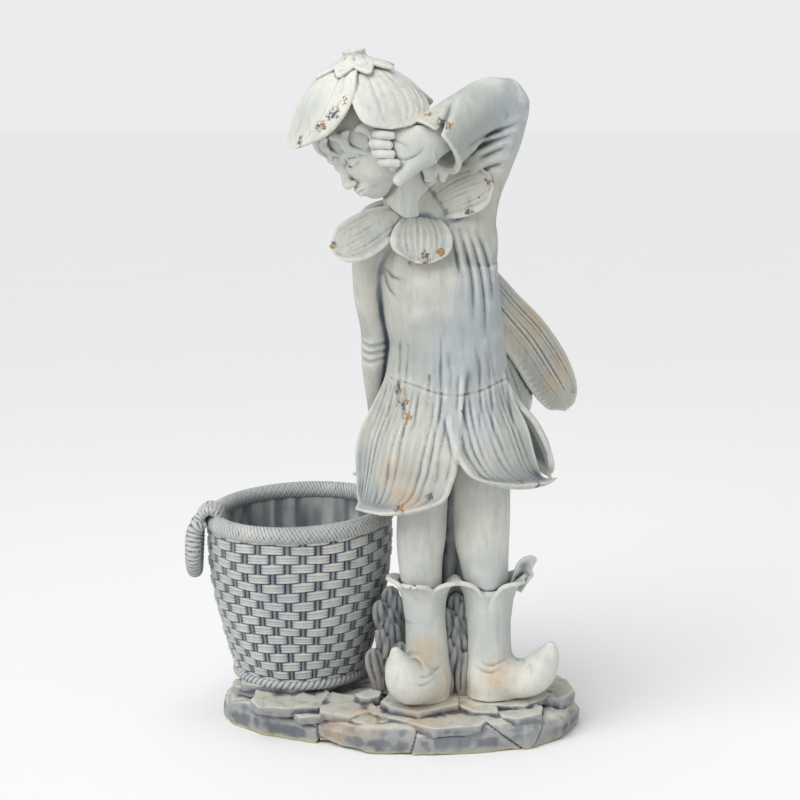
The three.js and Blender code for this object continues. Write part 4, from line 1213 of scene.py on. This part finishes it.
def make_head():
    field = Field("head_and_hat")
    add_face(field)
    field.add(limb(NECK, sides=60, caps=(0, 0)), 6)
    field.add(head_egg((50, -12, -4), (5, 13, 9)), 2)
    field.cut(head_egg((55, -11, -3), (3.5, 9, 5.5)), 1)
    field.add(egg((38, -56, 612), (14, 12, 17)), 4)
    for k in range(5):
        x = 30 + 5.5 * k
        lock = [
            (x - 4, -66, 634, 5, 5),
            (x + 2, -71, 618, 5.5, 5.5),
            (x + 5 * math.cos(k * 2), -69, 603, 3.5, 3.5),
        ]
        field.add(limb(lock, sides=14, step=1.5), 0.8)
    add_hair(field)
    add_hat(field)
    add_hand(field)
    finished(field, cream_paint)


LEGS = [
    [
        (34, -44, 330, 29, 31), (30, -46, 232, 29, 31), (28, -48, 190, 29, 30), (27, -50, 158, 26, 27),
        (30, -51, 110, 22, 22),
    ],
    [
        (94, -38, 330, 33, 33), (98, -40, 240, 34, 33), (99, -42, 190, 33, 32), (102, -44, 158, 29, 29),
        (107, -45, 110, 23, 23),
    ],
]
BOOTS = [
    [
        (31, -51, 127, 25, 25),
        (33, -50, 88, 24, 24),
        (35, -51, 50, 25, 27),
        (36, -52, 20, 27, 30),
        (36, -52, SOLE_LEVEL, 26, 28),
    ],
    [
        (108, -45, 127, 28, 27),
        (108, -45, 88, 26, 26),
        (109, -45, 50, 26, 27),
        (110, -46, 20, 28, 29),
        (110, -46, SOLE_LEVEL, 27, 27),
    ],
]
FEET = [
    [
        (38, -40, 18, 22, 20), (32, -58, 18, 28, 24), (20, -80, 22, 28, 28), (10, -93, 30, 25, 26),
        (4, -99, 43, 19, 20), (0, -100, 56, 12, 12), (-3, -100, 67, 5, 5),
    ],
    [
        (100, -44, 18, 22, 22),
        (122, -50, 18, 26, 24),
        (146, -55, 17, 26, 23),
        (162, -58, 23, 24, 22),
        (171, -60, 36, 20, 20),
        (178, -61, 50, 13, 13),
        (181, -62, 62, 5.5, 5.5),
    ],
]
# Cuff petals: turn and width, for each boot
CUFFS = [((31, -51, 126), 25, (-98, -20, 62, 130, 195)), ((108, -45, 126), 28, (-60, 52, 112, 178, 238))]
# Clumps of leaves behind the boots: middle x and y, half width, height, leaves and which way they face
CLUMPS = [
    (-11, -29, 13, 118, 11, -1),
    (68, -38, 11, 112, 10, -1),
    (30, 26, 26, 126, 16, 1),
    (88, 22, 26, 132, 16, 1),
]


def leaf_stations(clump, k):
    """One lance-shaped leaf of a clump: the lower leaves lie over the upper ones."""
    x, y, spread, height, count, facing = clump
    share = k / (count - 1)
    top = height * (1 - 0.7 * share) + 6
    foot = max(-8, top - 50 - 8 * math.sin(k * 1.7))
    x0 = x + spread * (0.4 + 0.5 * share) * math.sin(k * 2.5 + 0.6)
    out = facing * (3 + 9 * share)
    lean = 6 * math.sin(k * 1.9)
    width = 8.8 + 1.4 * math.sin(k * 3.1)
    return [
        (x0, y + out - 2 * facing, foot, 3.5),
        (x0 + 0.4 * lean, y + out + 2 * facing, foot + 0.35 * (top - foot), width * 0.85),
        (x0 + lean, y + out + 4 * facing, foot + 0.68 * (top - foot), width),
        (x0 + 1.3 * lean, y + out + 3 * facing, foot + 0.9 * (top - foot), width * 0.72),
        (x0 + 1.4 * lean, y + out + facing, top, 1.2),
    ]


def make_legs():
    field = Field("legs_and_boots")
    for stations in LEGS:
        field.add(limb(stations, sides=60, caps=(0, 0)))
    for shaft, foot in zip(BOOTS, FEET):
        field.add(limb(shaft, sides=60, caps=(0, 0)))
        field.add(limb(foot, front=(0, 0, 1), sides=50, caps=(0.5, 0.4)), 9)
    for origin, radius, turns in CUFFS:
        cuff = PetalFrame(origin, (0, 0, 1))
        for turn in turns:
            stations = [
                (radius - 6, -34, 14), (radius - 2, -10, 19), (radius + 5, 5, 18), (radius + 13, 11, 14),
                (radius + 20, 12, 5),
            ]
            shape = petal(cuff, turn, stations, thickness=5.5, flutes=4, groove=0.5, rows=50, columns=50)
            field.add(shape, 4)
    curl = [
        (138, -36, 120, 7), (144, -36, 134, 9), (150, -37, 146, 11), (158, -38, 152, 8), (162, -38, 150, 2),
    ]
    field.add(blade(curl, (0.4, -0.8, 0.3), cup=0.45, thickness=5, rows=40, columns=30), 2)
    for path in (
        [(16, 30), (30, 26), (46, 30)],
        [(20, 38), (34, 34), (50, 38)],
        [(92, 34), (108, 30), (124, 36)],
        [(96, 42), (110, 38), (126, 44)],
    ):
        field.crease(path, 2.4, 1.6, -55)
    field.roughen(20, 0.4, 31)
    finished(field, cream_paint)


def make_growth():
    """A rough stem that carries the figure, inside clumps of overlapping leaves."""
    field = Field("leaf_growth")
    stem = [
        (62, -12, -12, 46, 26), (64, -14, 40, 40, 24), (64, -18, 120, 34, 22), (64, -24, 200, 30, 20),
        (62, -32, 322, 36, 28),
    ]
    field.add(limb(stem, sides=60, caps=(0, 0), relief=lambda a, t: 0.05 * np.sin(a * 11 + t * 9)), 2)
    for clump in CLUMPS:
        x, y, spread, height, count, facing = clump
        core = [
            (x, y, -8, spread, 10),
            (x, y, 0.5 * height, spread, 9),
            (x, y, height - 8, 0.6 * spread, 5),
        ]
        field.add(limb(core, sides=30, caps=(0, 0.5)), 2)
        for k in range(count):
            shape = blade(leaf_stations(clump, k), (0, facing, 0.25), cup=-0.3, flutes=2, groove=2.2,
                          thickness=5.5, rows=50, columns=36)
            field.add(shape, 0.6)
    field.roughen(9, 0.4, 33)
    finished(field, leaf_paint)


# Wings: the way each one faces, which edge is ribbed, and [x, y, z, half width] from root to tip
WINGS = [
    ((0.35, -0.85, 0.35), 1, [
        (66, 0, 518, 12), (98, 12, 482, 24), (128, 28, 444, 29), (159, 46, 408, 32), (188, 70, 364, 33),
        (206, 88, 334, 25), (214, 94, 318, 8),
    ]),
    ((0.3, -0.9, 0.25), 1, [
        (66, 0, 470, 10), (100, 14, 426, 20), (128, 34, 380, 24), (146, 50, 336, 19), (152, 56, 306, 5),
    ]),
    ((-0.9, -0.35, 0.25), -1, [
        (50, 2, 518, 12), (38, 38, 482, 24), (24, 76, 444, 29), (12, 108, 408, 32), (2, 140, 364, 33),
        (-4, 160, 334, 25), (-6, 168, 318, 8),
    ]),
    ((-0.9, -0.35, 0.25), -1, [
        (50, 2, 470, 10), (42, 34, 426, 20), (32, 66, 380, 24), (26, 90, 336, 19), (24, 98, 306, 5),
    ]),
]


def make_wings():
    field = Field("wings")
    for out, side, stations in WINGS:
        shape = blade(stations, out, thickness=WING_THICKNESS, cup=-0.12, flutes=11, groove=2.6, rows=220,
                      columns=140, margin=side, both=True)
        field.add(shape, 1.0)
    finished(field, shaded_paint)


make_base()
make_basket()
make_ropes()
make_legs()
make_growth()
make_body()
make_wings()
make_head()


# Floor, light and camera

FLOOR_REACH = 60000.0
FLOOR_WHITE = (0.895, 0.895, 0.9)
ROOM_WHITE = (0.985, 0.99, 1.0)
# Soft lamps in metres and watts: name, place, height that each one points at, size and power
LAMPS = [
    ("soft_box_left", (-1.6, -2.1, 1.9), 0.35, 1.2, 7),
    ("soft_box_right", (2.0, -1.2, 1.5), 0.4, 1.2, 2),
    ("soft_box_top", (-0.1, 0.0, 2.2), 0.5, 0.9, 6),
]
SUN_STRENGTH = 1.85
SUN_WIDTH = 50
SUN_WAY = (0.5, 0.62, -0.9)
# Settings of the room's glow, from its strength near the floor's far edge to that high up
ROOM_GLOW = {"From Min": 0.05, "From Max": 0.3, "To Min": 0.845, "To Max": 0.46}
# The camera: focal length and picture width in pixels, sensor in millimetres, place and downward tilt
FOCAL_PIXELS = 1795
PICTURE_WIDTH = 800
SENSOR = 36
CAMERA_PLACE = (0.003, -2.1, 0.735)
CAMERA_TILT = 9.2


def plain(name, colour, roughness):
    n = Nodes(name)
    lighter = [min(1, c * 1.02) for c in colour]
    n.link(n.coat((*colour, 1), lighter, n.noise(3, 2)), n.shader.inputs["Base Color"])
    n.shader.inputs["Roughness"].default_value = roughness
    n.shader.inputs["Specular IOR Level"].default_value = 0.05
    return n.material


def make_floor():
    """A wide level floor."""
    corners = [(-1, -1, 0), (1, -1, 0), (1, 1, 0), (-1, 1, 0)]
    mesh = new_mesh("stage_floor", np.array(corners) * FLOOR_REACH, np.array([(0, 1, 2, 3)]))
    mesh.materials.append(plain("stage_white", FLOOR_WHITE, 0.8))
    floor = show("stage_floor", mesh)


def pointing(way):
    """The turn that points a lamp along a direction."""
    return Vector(way).to_track_quat("-Z", "Y").to_euler()


def make_lights():
    """Three soft boxes, and an even soft light over the whole floor from the front left."""
    for name, place, height, size, power in LAMPS:
        light = bpy.data.lights.new(name, "AREA")
        light.shape = "DISK"
        light.size = size
        light.energy = power
        show(name, light, place).rotation_euler = pointing(Vector((0, 0, height)) - Vector(place))
    sun = bpy.data.lights.new("soft_sky", "SUN")
    sun.energy = SUN_STRENGTH
    sun.angle = math.radians(SUN_WIDTH)
    show("soft_sky", sun).rotation_euler = pointing(SUN_WAY)


def make_room():
    """A pale room, brightest near the floor's far edge so that the two run together."""
    world = bpy.data.worlds.new("studio")
    bpy.context.scene.world = world
    world.use_nodes = True
    nodes = world.node_tree.nodes
    links = world.node_tree.links
    direction = nodes.new("ShaderNodeTexCoord")
    split = nodes.new("ShaderNodeSeparateXYZ")
    glow = nodes.new("ShaderNodeMapRange")
    glow.interpolation_type = "SMOOTHSTEP"
    for setting, value in ROOM_GLOW.items():
        glow.inputs[setting].default_value = value
    links.new(direction.outputs["Generated"], split.inputs[0])
    links.new(split.outputs["Z"], glow.inputs["Value"])
    links.new(glow.outputs["Result"], nodes["Background"].inputs["Strength"])
    nodes["Background"].inputs["Color"].default_value = (*ROOM_WHITE, 1)


def make_camera():
    lens = bpy.data.cameras.new("camera")
    lens.sensor_width = SENSOR
    lens.lens = FOCAL_PIXELS * SENSOR / PICTURE_WIDTH
    camera = show("camera", lens, CAMERA_PLACE)
    camera.rotation_euler = (math.radians(90 - CAMERA_TILT), 0, 0)
    bpy.context.scene.camera = camera
    bpy.context.scene.view_settings.view_transform = "Standard"


make_floor()
make_lights()
make_room()
make_camera()
